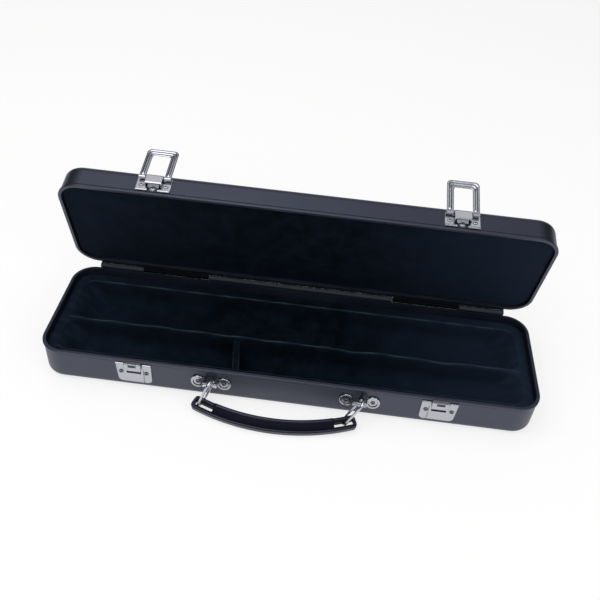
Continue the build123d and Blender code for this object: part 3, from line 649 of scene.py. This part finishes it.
@dataclass(frozen=True)
class BaseLining(Lining):
    """The plush over the base's foam, with two channels."""

    top: float = 28.2
    channel_floor: float = 7.0
    floor_round: float = 9.5
    lip: float = 1.6
    wall_slope: float = 0.9
    tuck_under: Pair = (2.2, 2.8)
    bottom: float = 2.1
    rail_y: float = -7.5
    rail_half: float = 2.0
    back_y: float = 40.4
    front_y: float = -43.4

    # spacing of the grid's lines, on the flats and at a channel's wall, and how far it stays fine
    spacing_x: Pair = (2.4, 0.5)
    spacing_y: Pair = (2.0, 0.34)
    fine_reach: float = 2.5
    fine_fade: float = 9.0

    # the middle rail's two waves: height, length per radian and phase; the first dies to the left
    waves: tuple[tuple[float, float, float], ...] = ((0.8, 12.4, 0.6), (0.45, 6.1, 2.0))
    wave_span: Pair = (-40.0, 60.0)
    wave_reach: float = 9.0
    end_past: float = 4.0
    end_run: float = 26.0

    # loose plush: broad swells, small puckers, and folds where it goes round the corners
    broad: Swell = Swell(0.22, 34, 3)
    puckers: Swell = Swell(0.1, 9, 5)
    ledge_share: float = 0.4
    floor_span: Pair = (1.0, 6.0)
    end_span: Pair = (150.0, 200.0)
    fold: float = 0.35
    fold_length: float = 2.3
    fold_slant: float = 0.8
    fold_bend: Swell = Swell(0.7, 30, 8)
    rim_drop: float = 1.1
    rim_run: float = 2.2

    # painted highlights: thin pale lines along the rail and just outside both outer lips, and faint pale
    # spots at the ends
    rail_line: float = 0.62
    lip_line: float = 0.42
    lip_line_out: float = 0.8
    lip_near: float = 3.0
    highlight_level: float = 0.62
    highlight_change: Swell = Swell(0.25, 26, 11)
    highlight_fade: Pair = (193.0, 203.0)
    end_glints: Swell = Swell(0.1, 12, 12)

    def channels(self) -> tuple[Channel, Channel]:
        """The body joint's channel and the pockets' channel."""
        back = Channel(self.rail_y + self.rail_half, self.back_y)
        return back, Channel(self.front_y, self.rail_y - self.rail_half)

    def drop(self, inside: Array) -> Array:
        """How far the plush lies below the ledge at a distance inside a channel's outline.

        The section is a rounded lip, a steep straight wall and a quarter circle into the floor; its
        points are worked out once along the curve and looked up by distance.
        """
        depth = self.top - self.channel_floor
        turn = np.linspace(0, math.pi / 2, 24)
        lip_d = -self.lip + self.lip * np.sin(turn)
        lip_z = self.lip * (1 - np.cos(turn))
        round_d = self.wall_slope + self.floor_round * (1 - np.cos(turn))
        round_z = depth - self.floor_round * (1 - np.sin(turn))
        return np.interp(inside, np.concatenate([lip_d, round_d]), np.concatenate([lip_z, round_z]))

    def lines(self, half: float, walls: Sequence[float], spacing: Pair) -> Array:
        """Grid lines across the lining, drawn together where the channels' walls are.

        Args:
            half: Half the lining's extent on this axis.
            walls: Where the walls stand.
            spacing: The spacing on the flats and at a wall.

        Returns:
            The lines' places, ascending.
        """
        flat, fine = spacing
        spots = [-half]
        while spots[-1] < half:
            near = min(abs(spots[-1] - wall) for wall in walls)
            away = min(1.0, max(0.0, near - self.fine_reach) / self.fine_fade)
            spots.append(spots[-1] + fine + (flat - fine) * away)
        scale = 2 * half / (spots[-1] - spots[0])
        return (np.array(spots) + half) * scale - half

    def shells(self) -> list[Shell]:
        """The plush, then its tucked-in rim with the foam's sides and flat underside."""
        back, front = self.channels()
        ys = self.lines(self.half_y, (back.high_y, back.low_y, front.high_y, front.low_y), self.spacing_y)
        xs = self.lines(self.half_x, (-back.half_x, back.half_x), self.spacing_x)
        reach = self.reach(ys)
        x = xs[:, None] * reach / self.half_x
        y = np.broadcast_to(ys, x.shape)

        # the middle rail wanders: the plush was pulled over it by hand
        slow, quick = (height * np.sin(x / run + phase) for height, run, phase in self.waves)
        wander = slow * smooth_step(x, *self.wave_span) + quick
        moved_y = y - wander * bell(y - self.rail_y, self.wave_reach)
        depth_in = np.maximum(back.inside(x, moved_y), front.inside(x, moved_y))
        # towards the ends the foam rises slowly under the plush
        low = smooth_step(back.half_x + self.end_past - np.abs(x), 0, self.end_run)
        z = self.top - self.drop(depth_in) * low

        floor = smooth_step(depth_in, *self.floor_span)
        ends = smooth_step(np.abs(x), *self.end_span)
        z += self.broad.at(x, y) * (self.ledge_share + (1 - self.ledge_share) * floor) + self.puckers.at(x, y)
        folds = np.sin((x + self.fold_slant * y) / self.fold_length + self.fold_bend.at(x, y))
        z += ends * floor * self.fold * folds
        edge = np.minimum(self.half_x - np.abs(x) * self.half_x / reach, self.half_y - np.abs(y))
        z -= self.rim_drop * (1 - smooth_step(edge, 0, self.rim_run))

        # painted highlights along the rail and beside the outer lips, fading towards the ends, and pale spots
        # near the ends
        painted_highlight = bell(moved_y - self.rail_y, self.rail_line)
        for wall in (back.high_y, front.low_y):
            beside = bell(depth_in + self.lip_line_out, self.lip_line) * (np.abs(y - wall) < self.lip_near)
            painted_highlight = np.maximum(painted_highlight, beside)
        painted_highlight *= self.highlight_level + self.highlight_change.kept(x, y, -1, 1)
        painted_highlight *= 1 - smooth_step(np.abs(x), *self.highlight_fade)
        painted_highlight = np.maximum(painted_highlight, ends * self.end_glints.kept(x, y, 0, 1))
        tucks = [self.top - under for under in self.tuck_under]
        levels = (*tucks, self.bottom + self.bevel[1], self.bottom)
        return self.closed(np.stack([x, y, z], axis=-1), painted_highlight, levels)

    def build(self) -> None:
        """Makes the lining."""
        foam = ("foam_sheet", "foam_back_strip", "foam_middle_rail", "foam_front_strip", "foam_end_blocks")
        nodes = ("base_lining", *foam)
        make_piece("base_plush", self.shells(), Slot.PLUSH, "base", nodes, crease=70)


@dataclass(frozen=True)
class Divider:
    """The covered block between the pockets: a rounded section carried along a slanting line."""

    lining: BaseLining
    x: float = -46.0
    angle: float = -8.0
    half: float = 3.25
    top: float = 26.2
    end_gap: float = 0.4
    above_floor: float = 0.2
    squareness: float = 0.45
    end_taper: float = 0.12
    sunk: float = 0.5
    least_height: float = 0.6
    pile: Swell = Swell(0.25, 9, 21)
    points_along: int = 40
    points_round: int = 48
    # painted highlights: pale lines along the top's two edges, most towards the front
    line_below: float = 0.4
    line_half: float = 0.7
    line_span: Pair = (0.45, 0.8)
    back_highlight: float = 0.05
    front_highlight: float = 0.5
    front_span: Pair = (20.0, 38.0)

    def shell(self) -> Shell:
        """The block: a squared circle for its section, its underside lifted to just below the plush."""
        _, front = self.lining.channels()
        slant = math.tan(math.radians(self.angle))
        middle_y = (front.low_y + front.high_y) / 2
        run = np.linspace(front.low_y + self.end_gap, front.high_y - self.end_gap, self.points_along)
        turn = full_turn(self.points_round)
        side, rise = raised(np.cos(turn), self.squareness), raised(np.sin(turn), self.squareness)
        high, low = self.top, self.lining.channel_floor + self.above_floor
        ends = 1 - self.end_taper * np.abs(np.linspace(-1, 1, len(run))) ** 6
        across = side * self.half * ends[:, None]
        x = (self.x + (run - middle_y) * slant)[:, None] + across / math.cos(math.radians(self.angle))
        y = np.broadcast_to(run[:, None], x.shape)
        level = (high + low) / 2 + rise * (high - low) / 2
        ground = self.lining.top - self.lining.drop(front.inside(x, y)) - self.sunk
        level = np.maximum(level, np.minimum(ground, high - self.least_height))
        level = level + self.pile.at(x, y + level) * (rise > 0)
        body = capped(np.stack([x, y, level], axis=-1))

        px, py, pz = body.points.T
        # painted highlight along both edges of the top
        off = np.abs(px - self.x - (py - middle_y) * slant) / self.half
        painted_highlight = bell(pz - high + self.line_below, self.line_half) * smooth_step(off, *self.line_span)
        painted_highlight *= self.back_highlight + self.front_highlight * smooth_step(-py, *self.front_span)
        return replace(body, painted_highlight=painted_highlight)

    def build(self) -> None:
        """Makes the divider."""
        nodes = ("pocket_divider",)
        make_piece("divider_plush", [self.shell()], Slot.PLUSH, "base", nodes, crease=80)


@dataclass(frozen=True, kw_only=True)
class LidLining(Lining):
    """The lid's plush face on its foam pad, nearly flat and tucked in at the rim."""

    hinge: Pair
    opening: float
    face: float = 36.0
    back: float = 56.4
    tuck_behind: Pair = (2.0, 2.4)
    crown: float = 0.5
    crown_run: float = 40.0
    # the grid's lines draw together towards the ends and the sides
    end_power: float = 1.12
    side_power: float = 0.8
    rows: int = 210
    columns: int = 64
    broad: Swell = Swell(0.13, 46, 31)
    puckers: Swell = Swell(0.05, 13, 32)
    rim_rise: float = 1.0
    rim_run: float = 2.6
    # painted highlight: a faint pale line along the soft rim
    rim_highlight: float = 0.14
    rim_highlight_reach: float = 1.6

    def shells(self) -> list[Shell]:
        """The face with its soft edge, then the pad's sides and back."""
        u = np.linspace(-1, 1, self.rows)
        ys = raised(np.linspace(-1, 1, self.columns), self.side_power) * self.half_y
        reach = self.reach(ys)
        ease = np.sign(u) * (1 - (1 - np.abs(u)) ** self.end_power)
        x = ease[:, None] * reach
        y = np.broadcast_to(ys, x.shape)
        edge = np.minimum(reach - np.abs(x), self.half_y - np.abs(y))
        z = self.face - self.crown * smooth_step(edge, 0, self.crown_run)
        z += self.broad.at(x, y) + self.puckers.at(x, y)
        z += self.rim_rise * (1 - smooth_step(edge, 0, self.rim_run))
        # painted highlight along the rim
        painted_highlight = self.rim_highlight * bell(edge, self.rim_highlight_reach)
        tucks = [self.face + behind for behind in self.tuck_behind]
        levels = (*tucks, self.back - self.bevel[1], self.back)
        shut = self.closed(np.stack([x, y, z], axis=-1), painted_highlight, levels)
        return [replace(s, points=turned(s.points, self.hinge, -self.opening)) for s in shut]

    def build(self) -> None:
        """Makes the lid's lining."""
        nodes = ("lid_lining", "lid_pad")
        make_piece("lid_plush", self.shells(), Slot.PLUSH, "lid", nodes, crease=70)


# ---- pull loops


@dataclass(frozen=True)
class PullLoop:
    """A latch's pull loop, stamped from sheet: two ridged arms, a bar with two grooves, rolled feet.

    It is drawn upright on its pin and then turned by its own tilt and with the open lid.
    """

    side: str
    x: float
    tilt: float
    hinge: Pair
    opening: float
    pivot: Pair = (-56.8, 49.75)
    half: float = 13.65
    length: float = 33.4
    window_half: float = 7.8
    window: float = 25.8
    corner: float = 4.0
    window_corner: float = 2.0
    thickness: float = 1.2
    pin: float = 0.75
    eye: float = 0.8
    eye_round: float = 0.18
    points_round: int = 40

    # across the sheet, as shares of its width: the arms' ridge, the bar's grooves, the rolled edges
    ridge: float = 0.55
    ridge_half: float = 0.17
    groove: float = 0.4
    groove_half: float = 0.07
    groove_places: Pair = (0.33, 0.67)
    rolled: float = 0.15
    # where the bar's grooves set in, from the window's end, and the arms' ridge, from the pin
    bar_span: Pair = (-1.5, 1.2)
    arm_span: Pair = (1.5, 4.0)

    def edge(self, half: float, top: float, corner: float) -> Array:
        """One edge of the upside-down U: up one arm, round a corner, across and down again.

        Args:
            half: Half the width between the arms' edges.
            top: How far the U reaches from the pin.
            corner: Its corners' radius.

        Returns:
            The edge's points, across and along.
        """
        turn = np.linspace(0, math.pi / 2, 17)[1:-1]
        rise = np.linspace(0, top - corner, 40)
        left = np.stack([np.full_like(rise, -half), rise], axis=1)
        bend = np.stack([-half + corner * (1 - np.cos(turn)), top - corner + corner * np.sin(turn)], axis=1)
        across = np.linspace(-half + corner, half - corner, 24)
        bar = np.stack([across, np.full_like(across, top)], axis=1)
        return np.concatenate([left, bend, bar, bend[::-1] * [-1, 1], left[::-1] * [-1, 1]])

    def frame(self) -> Shell:
        """The stamped frame: a section across the sheet, carried between its two edges.

        Over the arms the section has one broad ridge, over the bar two grooves; the edges are
        rolled over by the stamping.
        """
        outer = self.edge(self.half, self.length, self.corner)
        inner = self.edge(self.window_half, self.window, self.window_corner)
        # the profile goes over the top from the outer edge to the inner one, and back underneath
        above, below = np.linspace(0, 1, 33), np.linspace(1, 0, 12)[1:-1]
        t = np.concatenate([above, below])
        over = np.arange(len(t)) < len(above)
        half_sheet = self.thickness / 2
        rim = np.minimum(t, 1 - t) / self.rolled
        roll = np.where(rim > 1, 1.0, np.sqrt(np.clip(1 - (1 - rim) ** 2, 0, 1)))
        ridge = self.ridge * np.exp(-(((t - 0.5) / self.ridge_half) ** 4))
        groove = self.groove * sum(bell(t - place, self.groove_half) for place in self.groove_places)
        level = (outer[:, 1] + inner[:, 1]) / 2
        bar_share = smooth_step(level - self.window, *self.bar_span)
        arm_share = (1 - bar_share) * smooth_step(level, *self.arm_span)
        top = half_sheet * roll + arm_share[:, None] * ridge
        top = top - bar_share[:, None] * groove
        w = np.where(over, top, -half_sheet * roll)
        flat = outer[:, None] * (1 - t)[:, None] + inner[:, None] * t[:, None]
        return capped(np.concatenate([flat, w[..., None]], axis=-1))

    def foot(self, side: int) -> Shell:
        """One rolled foot: a sleeve round the pin, as wide as the arm, with eased edges."""
        middle = side * (self.window_half + self.half) / 2
        half, outside = (self.half - self.window_half) / 2, self.pin + self.eye
        turn = full_turn(self.points_round)
        start = ((half, self.pin), (half, outside - self.eye_round), (half - self.eye_round, outside))
        profile = [(-a, r) for a, r in start] + list(start[::-1])
        rings = [
            np.column_stack([np.full(len(turn), middle + a), r * np.sin(turn), r * np.cos(turn)])
            for a, r in profile
        ]
        return grid_shell(np.stack(rings), wrap_rows=True, wrap_columns=True)

    def placed(self, shell: Shell) -> Shell:
        """Moves a surface from the loop's own axes (across, along, outwards) to its place."""
        across, along, out = shell.points.T
        y, z = self.pivot
        points = turned(np.column_stack([self.x + across, y - out, z + along]), self.pivot, self.tilt)
        return replace(shell, points=turned(points, self.hinge, -self.opening))

    def build(self) -> None:
        """Makes the loop."""
        shells = [self.placed(s) for s in (self.frame(), self.foot(-1), self.foot(1))]
        node = f"latch_loop_{self.side}"
        make_piece(f"pull_loop_{self.side}", shells, Slot.NICKEL, f"loop_{self.side}", (node,))


# ---- handle


@dataclass(frozen=True)
class Handle:
    """The moulded carrying handle: a raised rim round a curved bar, a sunk web and two slots.

    It is drawn in polar measures, along the arc and out from its centre, then tipped down until
    its outer edge is on the ground.
    """

    centre_x: float = -7.0
    half_chord: float = 60.9
    sagitta: float = 10.8
    far_y: float = -63.8
    far_z: float = 7.3
    inner_rail: float = 3.4
    slot_width: float = 6.0
    outer_rail: float = 2.6
    end: float = 7.8
    end_round: float = 3.8
    slot_length: float = 15.5
    slot_past_ring: float = 3.5
    slot_round: float = 1.8
    half_height: float = 3.0
    rail_half_height: float = 2.1
    edge_round: float = 1.4
    tilt: float = 11.42

    # the section: how much of a wall one corner may take, how square it is, and where it faces out
    corner_share: float = 0.48
    squareness: float = 9.0
    outside: float = -0.2
    points_round: int = 64
    points_side: int = 150
    points_corner: int = 16
    # the inner rail's dip beside a slot, in degrees past the slot's near end and its far end
    dip: tuple[Pair, Pair] = ((-0.1, 0.3), (-0.2, 0.6))

    # two fine ribs run round the outside
    rib: float = 0.22
    rib_half: float = 0.35
    rib_heights: Pair = (0.2, -1.7)

    # the web's hollow top, its flat underside, and how it ends inside the rim
    web_drop: float = 1.0
    web_hollow: float = 0.35
    web_above: float = 0.15
    web_end_drop: float = 0.3
    tuck: float = 0.7
    strip: float = 0.17
    # where the strips end, in degrees past the slot's near end and its far end
    strip_ends: Pair = (-0.2, -0.1)

    @property
    def radius(self) -> float:
        """The arc's radius at the inner rail's middle, from its chord and sagitta."""
        return (self.half_chord**2 + self.sagitta**2) / (2 * self.sagitta)

    def placed(self, along: Array, out: Array, z: Array) -> Array:
        """Turns polar measures into positions.

        Args:
            along: Degrees from the handle's middle, positive to +X.
            out: Distance from the arc's centre.
            z: Height above the handle's middle plane.

        Returns:
            Positions, with X, Y and Z last.
        """
        a = np.radians(along)
        behind = math.sqrt(self.radius**2 - self.half_chord**2)
        x = self.centre_x + out * np.sin(a)
        y = self.far_y + behind - out * np.cos(a)
        points = np.stack(np.broadcast_arrays(x, y, self.far_z + z), axis=-1)
        return turned(points, (self.far_y, self.far_z), self.tilt)

    def angles(self) -> tuple[float, float, float]:
        """Where the handle ends, and its slots' far and near ends, in degrees."""
        width = self.inner_rail + self.slot_width + self.outer_rail
        middle = self.half_chord - self.slot_length / 2 + self.slot_past_ring
        slot = math.degrees(math.asin(middle / self.radius))
        half_slot = math.degrees(self.slot_length / 2 / self.radius)
        whole = math.degrees(math.asin((self.half_chord + self.end) / (self.radius + width / 2)))
        return whole, slot + half_slot, slot - half_slot

    def rim(self) -> Shell:
        """The raised rim: a rounded section with two fine ribs outside, once round the handle."""
        whole, slot_far, slot_near = self.angles()
        inner = self.radius - self.inner_rail / 2
        hole = inner + self.inner_rail
        outer = hole + self.slot_width + self.outer_rail
        mean = (inner + outer) / 2
        per_degree = math.radians(1) * mean
        counts = (self.points_side, self.points_corner)
        outline = rounded_outline(whole * per_degree, (outer - inner) / 2, self.end_round, *counts)
        window = rounded_outline(slot_far * per_degree, self.slot_width / 2, self.slot_round, *counts)
        # the outline is anticlockwise from the arc's outer side, which is -Y here
        outline = outline * [1, -1] + [0, mean]
        window = window * [1, -1] + [0, hole + self.slot_width / 2]
        across = window - outline
        thick = np.hypot(across[:, 0], across[:, 1])[:, None]
        angle = outline[:, 0] / per_degree
        # beside a slot the inner rail is lower, where the ring goes round it
        falls, rises = self.dip
        low = smooth_step(np.abs(angle), *(slot_near + d for d in falls)) * (outline[:, 1] < mean)
        low = low * (1 - smooth_step(np.abs(angle), *(slot_far + d for d in rises)))
        half_height = (self.half_height - (self.half_height - self.rail_half_height) * low)[:, None]

        # the section: a rounded rectangle as thick as the wall there, from its own corner radius
        turn = full_turn(self.points_round)
        bend = np.minimum(self.edge_round, self.corner_share * np.minimum(thick, 2 * half_height))
        cos, sin = np.cos(turn), np.sin(turn)
        side = np.tanh(cos * self.squareness) * (thick / 2 - bend) + bend * cos
        rise = np.tanh(sin * self.squareness) * (half_height - bend) + bend * sin
        ribs = self.rib * sum(bell(rise - height, self.rib_half) for height in self.rib_heights)
        outward = (cos < self.outside) & (np.abs(rise) < half_height)
        share = 0.5 + (side + np.where(outward, ribs, 0)) / thick
        flat = outline[:, None] + across[:, None] * share[..., None]
        points = self.placed(flat[..., 0] / per_degree, flat[..., 1], rise)
        return grid_shell(points, wrap_rows=True, wrap_columns=True)

    def web(self, start: float, stop: float, low: float, high: float) -> Shell:
        """Part of the sunk web, slightly hollow on top across the whole channel.

        Args:
            start: Where it starts along the arc, in degrees.
            stop: Where it stops.
            low: Its inner edge, as a share of the channel's width.
            high: Its outer edge.

        Returns:
            The closed surface.
        """
        hole = self.radius + self.inner_rail / 2
        along = np.linspace(start, stop, max(4, int(abs(stop - start) * 4)))
        t = np.concatenate([np.linspace(low, high, 15), np.linspace(high, low, 15)])
        over = np.arange(len(t)) < len(t) // 2
        hollow = self.web_hollow * np.clip(1 - (2 * t - 1) ** 2, 0, 1)
        rise = np.where(over, self.half_height - self.web_drop - hollow, -self.half_height + self.web_above)
        ends = np.where((along == along[0]) | (along == along[-1]), self.web_end_drop, 0.0)
        height = rise - np.where(over, 1, -1) * ends[:, None]
        return capped(self.placed(along[:, None], hole + self.slot_width * t, height))

    def webs(self) -> Iterator[Shell]:
        """The web from slot to slot, and beside each slot the two strips that make it narrower."""
        _, slot_far, slot_near = self.angles()
        tuck = self.tuck / self.slot_width
        near, far = self.strip_ends
        yield self.web(-slot_near, slot_near, -tuck, 1 + tuck)
        for side in (-1, 1):
            for low, high in ((-tuck, self.strip), (1 - self.strip, 1 + tuck)):
                yield self.web(side * (slot_near + near), side * (slot_far + far), low, high)

    def build(self) -> None:
        """Makes the handle's rim and its web."""
        make_piece("handle_moulding", [self.rim()], Slot.HANDLE, "handle", ("handle_grip",), crease=50)
        # the web takes the darker copy of the plastic, painted shade
        make_piece("handle_web", list(self.webs()), Slot.HANDLE, "handle", crease=50, finish=WEB_MATT_SHADED)


# ---- hinge barrel


@dataclass(frozen=True)
class HingeBarrel:
    """The thick, lumpy paint on the hinge's knuckles, which fills the fine slits beside them."""

    axis: Pair
    half: float = 189.5
    outer_knuckle: float = 41.0
    lid_knuckle: float = 62.0
    gap: float = 0.15
    radius: float = 2.0
    paint: float = 0.3
    lump: Swell = Swell(0.05, 3.0, 41)
    lump_round: float = 6.0
    ring_spacing: float = 1.2
    points_round: int = 28

    def sleeve(self, start: float, stop: float) -> Shell:
        """One knuckle's skin: a lumpy tube, closed at its ends."""
        rings = max(8, int((stop - start) / self.ring_spacing))
        x = np.linspace(start + self.gap, stop - self.gap, rings)
        turn = full_turn(self.points_round)
        along, angle = np.meshgrid(x, turn, indexing="ij")
        lumps = self.lump.kept(along, self.lump_round * np.sin(angle), -1, 0)
        reach = self.radius + self.paint + lumps
        y, z = self.axis
        return capped(np.stack([along, y + reach * np.sin(angle), z + reach * np.cos(angle)], axis=-1))

    def build(self) -> None:
        """Makes the skins of the base's knuckles and of the lid's."""
        outer = self.half - self.outer_knuckle
        inner = outer - self.lid_knuckle
        base = ((-self.half, -outer), (-inner, inner), (outer, self.half))
        lid = ((-outer, -inner), (inner, outer))
        # the base's knuckles take the lit copy of the paint, painted light; the lid's take the shaded copy,
        # painted shade
        for body, paint, spans in (("base", LIT_KNUCKLE_PAINT, base), ("lid", SHADED_KNUCKLE_PAINT, lid)):
            sleeves = [self.sleeve(*span) for span in spans]
            make_piece(f"hinge_paint_{body}", sleeves, Slot.HINGE, body, finish=paint)


# ---- pieces kept as they are


def both(*stems: str) -> tuple[str, ...]:
    """Names the left and the right piece of each pair."""
    return tuple(f"{stem}_{side}" for stem in stems for side in ("left", "right"))


# the nodes whose shape is right, by slot, and their finish where it isn't the slot's own
KEPT: tuple[tuple[Slot, tuple[str, ...], Finish | None], ...] = (
    (Slot.SHELL, ("base_shell", "lid_shell"), None),
    (Slot.NICKEL, both("keeper", "handle_mount", "latch_plate", "latch_pin"), None),
    (Slot.NICKEL, ("latch_rivets", "latch_tongue_rivets"), None),
    (Slot.WIRE, both("handle_ring"), None),
    (Slot.HINGE, ("hinge_leaf_base", "hinge_leaf_lid", "hinge_pin"), None),
    (Slot.HINGE, ("hinge_rivets_base", "hinge_rivets_lid"), None),
    (Slot.INNER, ("keeper_backing_plates", "handle_backing_plates", "latch_backing_plates"), None),
    (Slot.SPRING, both("latch_spring"), None),
    # the rivets' nickel is darkened as painted shade
    (Slot.NICKEL, ("keeper_rivets", "handle_mount_rivets"), RIVET_NICKEL_SHADED),
)


def dress(nodes: Mapping[str, bpy.types.Object]) -> None:
    """Gives the kept nodes their finishes.

    Args:
        nodes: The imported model's nodes by name.
    """
    for slot, names, own in KEPT:
        finish = own or FINISHES[slot]
        for name in names:
            nodes[name].data.materials.clear()
            nodes[name].data.materials.append(finished(finish))
            LOG.info("%s: finished as %s", name, finish.name)


# ---- studio


@dataclass(frozen=True)
class Camera:
    """The photograph's viewpoint, in degrees and millimetres, but for pan and tip in radians."""

    azimuth: float = 2.935
    elevation: float = 48.653
    roll: float = 4.804
    distance: float = 672.155
    pan: float = 0.012
    tip: float = 0.144
    lens: float = 44.094
    sensor: float = 36.0
    shift_y: float = -0.08
    nearest: float = 10.0

    @staticmethod
    def spun(first: Array, second: Array, angle: float) -> tuple[Array, Array]:
        """Turns two axes in their plane by an angle in radians, the first towards the second."""
        c, s = math.cos(angle), math.sin(angle)
        return first * c + second * s, second * c - first * s

    def build(self) -> None:
        """Makes the camera and hands it to the scene.

        It starts looking at the case's origin from the distance, is rolled about its line of
        sight, then panned about its own upright and tipped about its own crosswise axis.
        """
        a, e, r = (math.radians(v) for v in (self.azimuth, self.elevation, self.roll))
        ahead = -np.array([math.sin(a) * math.cos(e), -math.cos(a) * math.cos(e), math.sin(e)])
        place = -ahead * self.distance * MM
        right = np.cross(ahead, [0, 0, 1])
        right /= np.linalg.norm(right)
        up = np.cross(right, ahead)
        right, up = self.spun(right, up, r)
        ahead, right = self.spun(ahead, right, self.pan)
        ahead, up = self.spun(ahead, up, self.tip)
        data = bpy.data.cameras.new("camera")
        data.lens = self.lens
        data.sensor_width = self.sensor
        data.sensor_fit = "HORIZONTAL"
        data.shift_y = self.shift_y
        data.clip_start = self.nearest * MM
        camera = put("camera", data)
        matrix = Matrix.Identity(4)
        for column, axis in enumerate((right, up, -ahead, place)):
            for row in range(3):
                matrix[row][column] = axis[row]
        camera.matrix_world = matrix
        bpy.context.scene.camera = camera


@dataclass(frozen=True)
class Softbox:
    """One square lamp, aimed at the case; its place and size are in metres, its power in watts."""

    name: str
    place: tuple[float, float, float]
    size: float
    power: float
    aim: tuple[float, float, float] = (0.0, 0.0, 0.04)

    def build(self) -> None:
        """Makes the lamp."""
        data = bpy.data.lights.new(self.name, "AREA")
        data.size = self.size
        data.energy = self.power
        lamp = put(self.name, data)
        lamp.location = self.place
        lamp.rotation_euler = (Vector(self.aim) - lamp.location).to_track_quat("-Z", "Y").to_euler()


def background_rays(tree: Tree) -> tuple[Socket, Socket]:
    """Adds a light path.

    Args:
        tree: The nodes of the floor's material or of the surround.

    Returns:
        Whether the camera sees this ray, straight, in gloss or through glass, and whether in gloss.
    """
    path = add_node(tree, "LightPath").outputs
    seen = path["Is Camera Ray"]
    for kind in ("Is Glossy Ray", "Is Transmission Ray"):
        links = {0: seen, 1: path[kind]}
        seen = add_node(tree, "Math", links=links, operation="MAXIMUM").outputs[0]
    return seen, path["Is Glossy Ray"]


@dataclass(frozen=True)
class Studio:
    """A white floor, a white surround and soft lamps.

    Polished pieces see the surround as a light tent: pale in front, behind and along the ground,
    dim at its two sides and darker upwards, with a bright ring round its grey top.
    """

    # half the floor's side, in metres
    floor_half: float = 6.0
    floor_colour: str = "#F7F7F6"
    floor_glow: float = 0.7
    # the surround's strength as a light
    surround: float = 0.62
    white: str = "#FFFFFF"
    lamps: tuple[Softbox, ...] = (
        Softbox("overhead_softbox", (-0.35, -0.25, 1.25), 1.2, 9.0),
        Softbox("side_softbox", (1.1, -0.9, 0.9), 0.9, 5.0),
    )
    # the tent's colours, by how far a direction points sideways, and by how far upwards
    tent_sides: Stops = (
        (0.0, "#ECEDF0"), (0.28, "#FFFFFF"), (0.5, "#B4B6BA"), (0.72, "#46484D"), (1.0, "#2A2C31"),
    )
    tent_top: Stops = (
        (0.0, "#FFFFFF"), (0.3, "#DDE0E8"), (0.55, "#7C7F88"), (0.74, "#3A3D45"), (0.84, "#F4F4F4"),
        (0.91, "#FFFFFF"), (0.97, "#8A8C94"),
    )

    def tent(self, tree: Tree) -> Socket:
        """Gives the tent's colour by direction: the product of its two ramps."""
        heading = add_node(tree, "TexCoord").outputs["Generated"]
        parts = add_node(tree, "SeparateXYZ", links={0: heading}).outputs
        sideways = add_node(tree, "Math", links={0: parts["X"]}, operation="ABSOLUTE")
        sides = add_node(tree, "ValToRGB", links={"Fac": sideways}, stops=self.tent_sides)
        top = add_node(tree, "ValToRGB", links={"Fac": parts["Z"]}, stops=self.tent_top)
        links = {"A": sides, "B": top}
        tint = add_node(tree, "Mix", {"Factor": 1.0}, links, data_type="RGBA", blend_type="MULTIPLY")
        return tint.outputs["Result"]

    def world(self) -> None:
        """Makes the surround: white to the camera, the tent in reflections, dimmer as a light."""
        world = bpy.data.worlds.new("white_surround")
        tree = empty_tree(world)
        seen, glossy = background_rays(tree)
        span = {"To Min": self.surround, "To Max": 1.0}
        strength = add_node(tree, "MapRange", span, {"Value": seen})
        links = {"Factor": glossy, "B": self.tent(tree)}
        colour = add_node(tree, "Mix", {"A": linear(self.white)}, links, data_type="RGBA")
        links = {"Color": colour.outputs["Result"], "Strength": strength}
        light = add_node(tree, "Background", links=links)
        add_node(tree, "OutputWorld", links={"Surface": light})
        bpy.context.scene.world = world

    def floor(self) -> None:
        """Makes the floor, which the camera sees as nearly white with a light shadow."""
        material = bpy.data.materials.new("studio_floor")
        tree = empty_tree(material)
        matte = add_node(tree, "BsdfDiffuse", {"Color": linear(self.floor_colour)})
        glow = add_node(tree, "Emission", {"Color": linear(self.white), "Strength": 1.0})
        seen, _ = background_rays(tree)
        share = add_node(tree, "Math", {1: self.floor_glow}, {0: seen}, operation="MULTIPLY")
        mix = add_node(tree, "MixShader", links={0: share, 1: matte, 2: glow})
        add_node(tree, "OutputMaterial", links={"Surface": mix})
        mesh = bpy.data.meshes.new("studio_floor")
        half = self.floor_half
        corners = [(-half, -half, 0), (half, -half, 0), (half, half, 0), (-half, half, 0)]
        mesh.from_pydata(corners, [], [(0, 1, 2, 3)])
        mesh.materials.append(material)
        floor = put("studio_floor", mesh)
        floor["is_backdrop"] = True

    def build(self) -> None:
        """Makes the surround, the floor and the lamps."""
        self.world()
        self.floor()
        for lamp in self.lamps:
            lamp.build()
        bpy.context.scene.view_settings.view_transform = "Standard"


def write_sizes(solid: tuple[Vector, Vector]) -> None:
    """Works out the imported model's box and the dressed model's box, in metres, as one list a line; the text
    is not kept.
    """
    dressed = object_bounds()
    rows = [[list(corner) for corner in box] for box in (solid, dressed)]
    "\n".join(json.dumps(row) for row in rows) + "\n"


def main() -> None:
    """Loads the frame, makes the camera, the studio and every piece."""
    logging.basicConfig(level=logging.INFO, format="%(name)s: %(message)s")
    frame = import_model()
    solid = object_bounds()
    Camera().build()
    Studio().build()
    dress(frame["nodes"])
    lid_hinge = next(joint for joint in frame["joints"] if joint["name"] == "lid_hinge")
    hinge = (lid_hinge["pos_m"][1] / MM, lid_hinge["pos_m"][2] / MM)
    opening = lid_hinge["range_deg"][1]
    lining = BaseLining()
    lining.build()
    Divider(lining).build()
    LidLining(hinge=hinge, opening=opening).build()
    for side, x, tilt in (("left", -127.8, -3.5), ("right", 127.8, 3.5)):
        PullLoop(side, x, tilt, hinge, opening).build()
    Handle().build()
    HingeBarrel(hinge).build()
    write_sizes(solid)


if __name__ == "__main__":
    main()
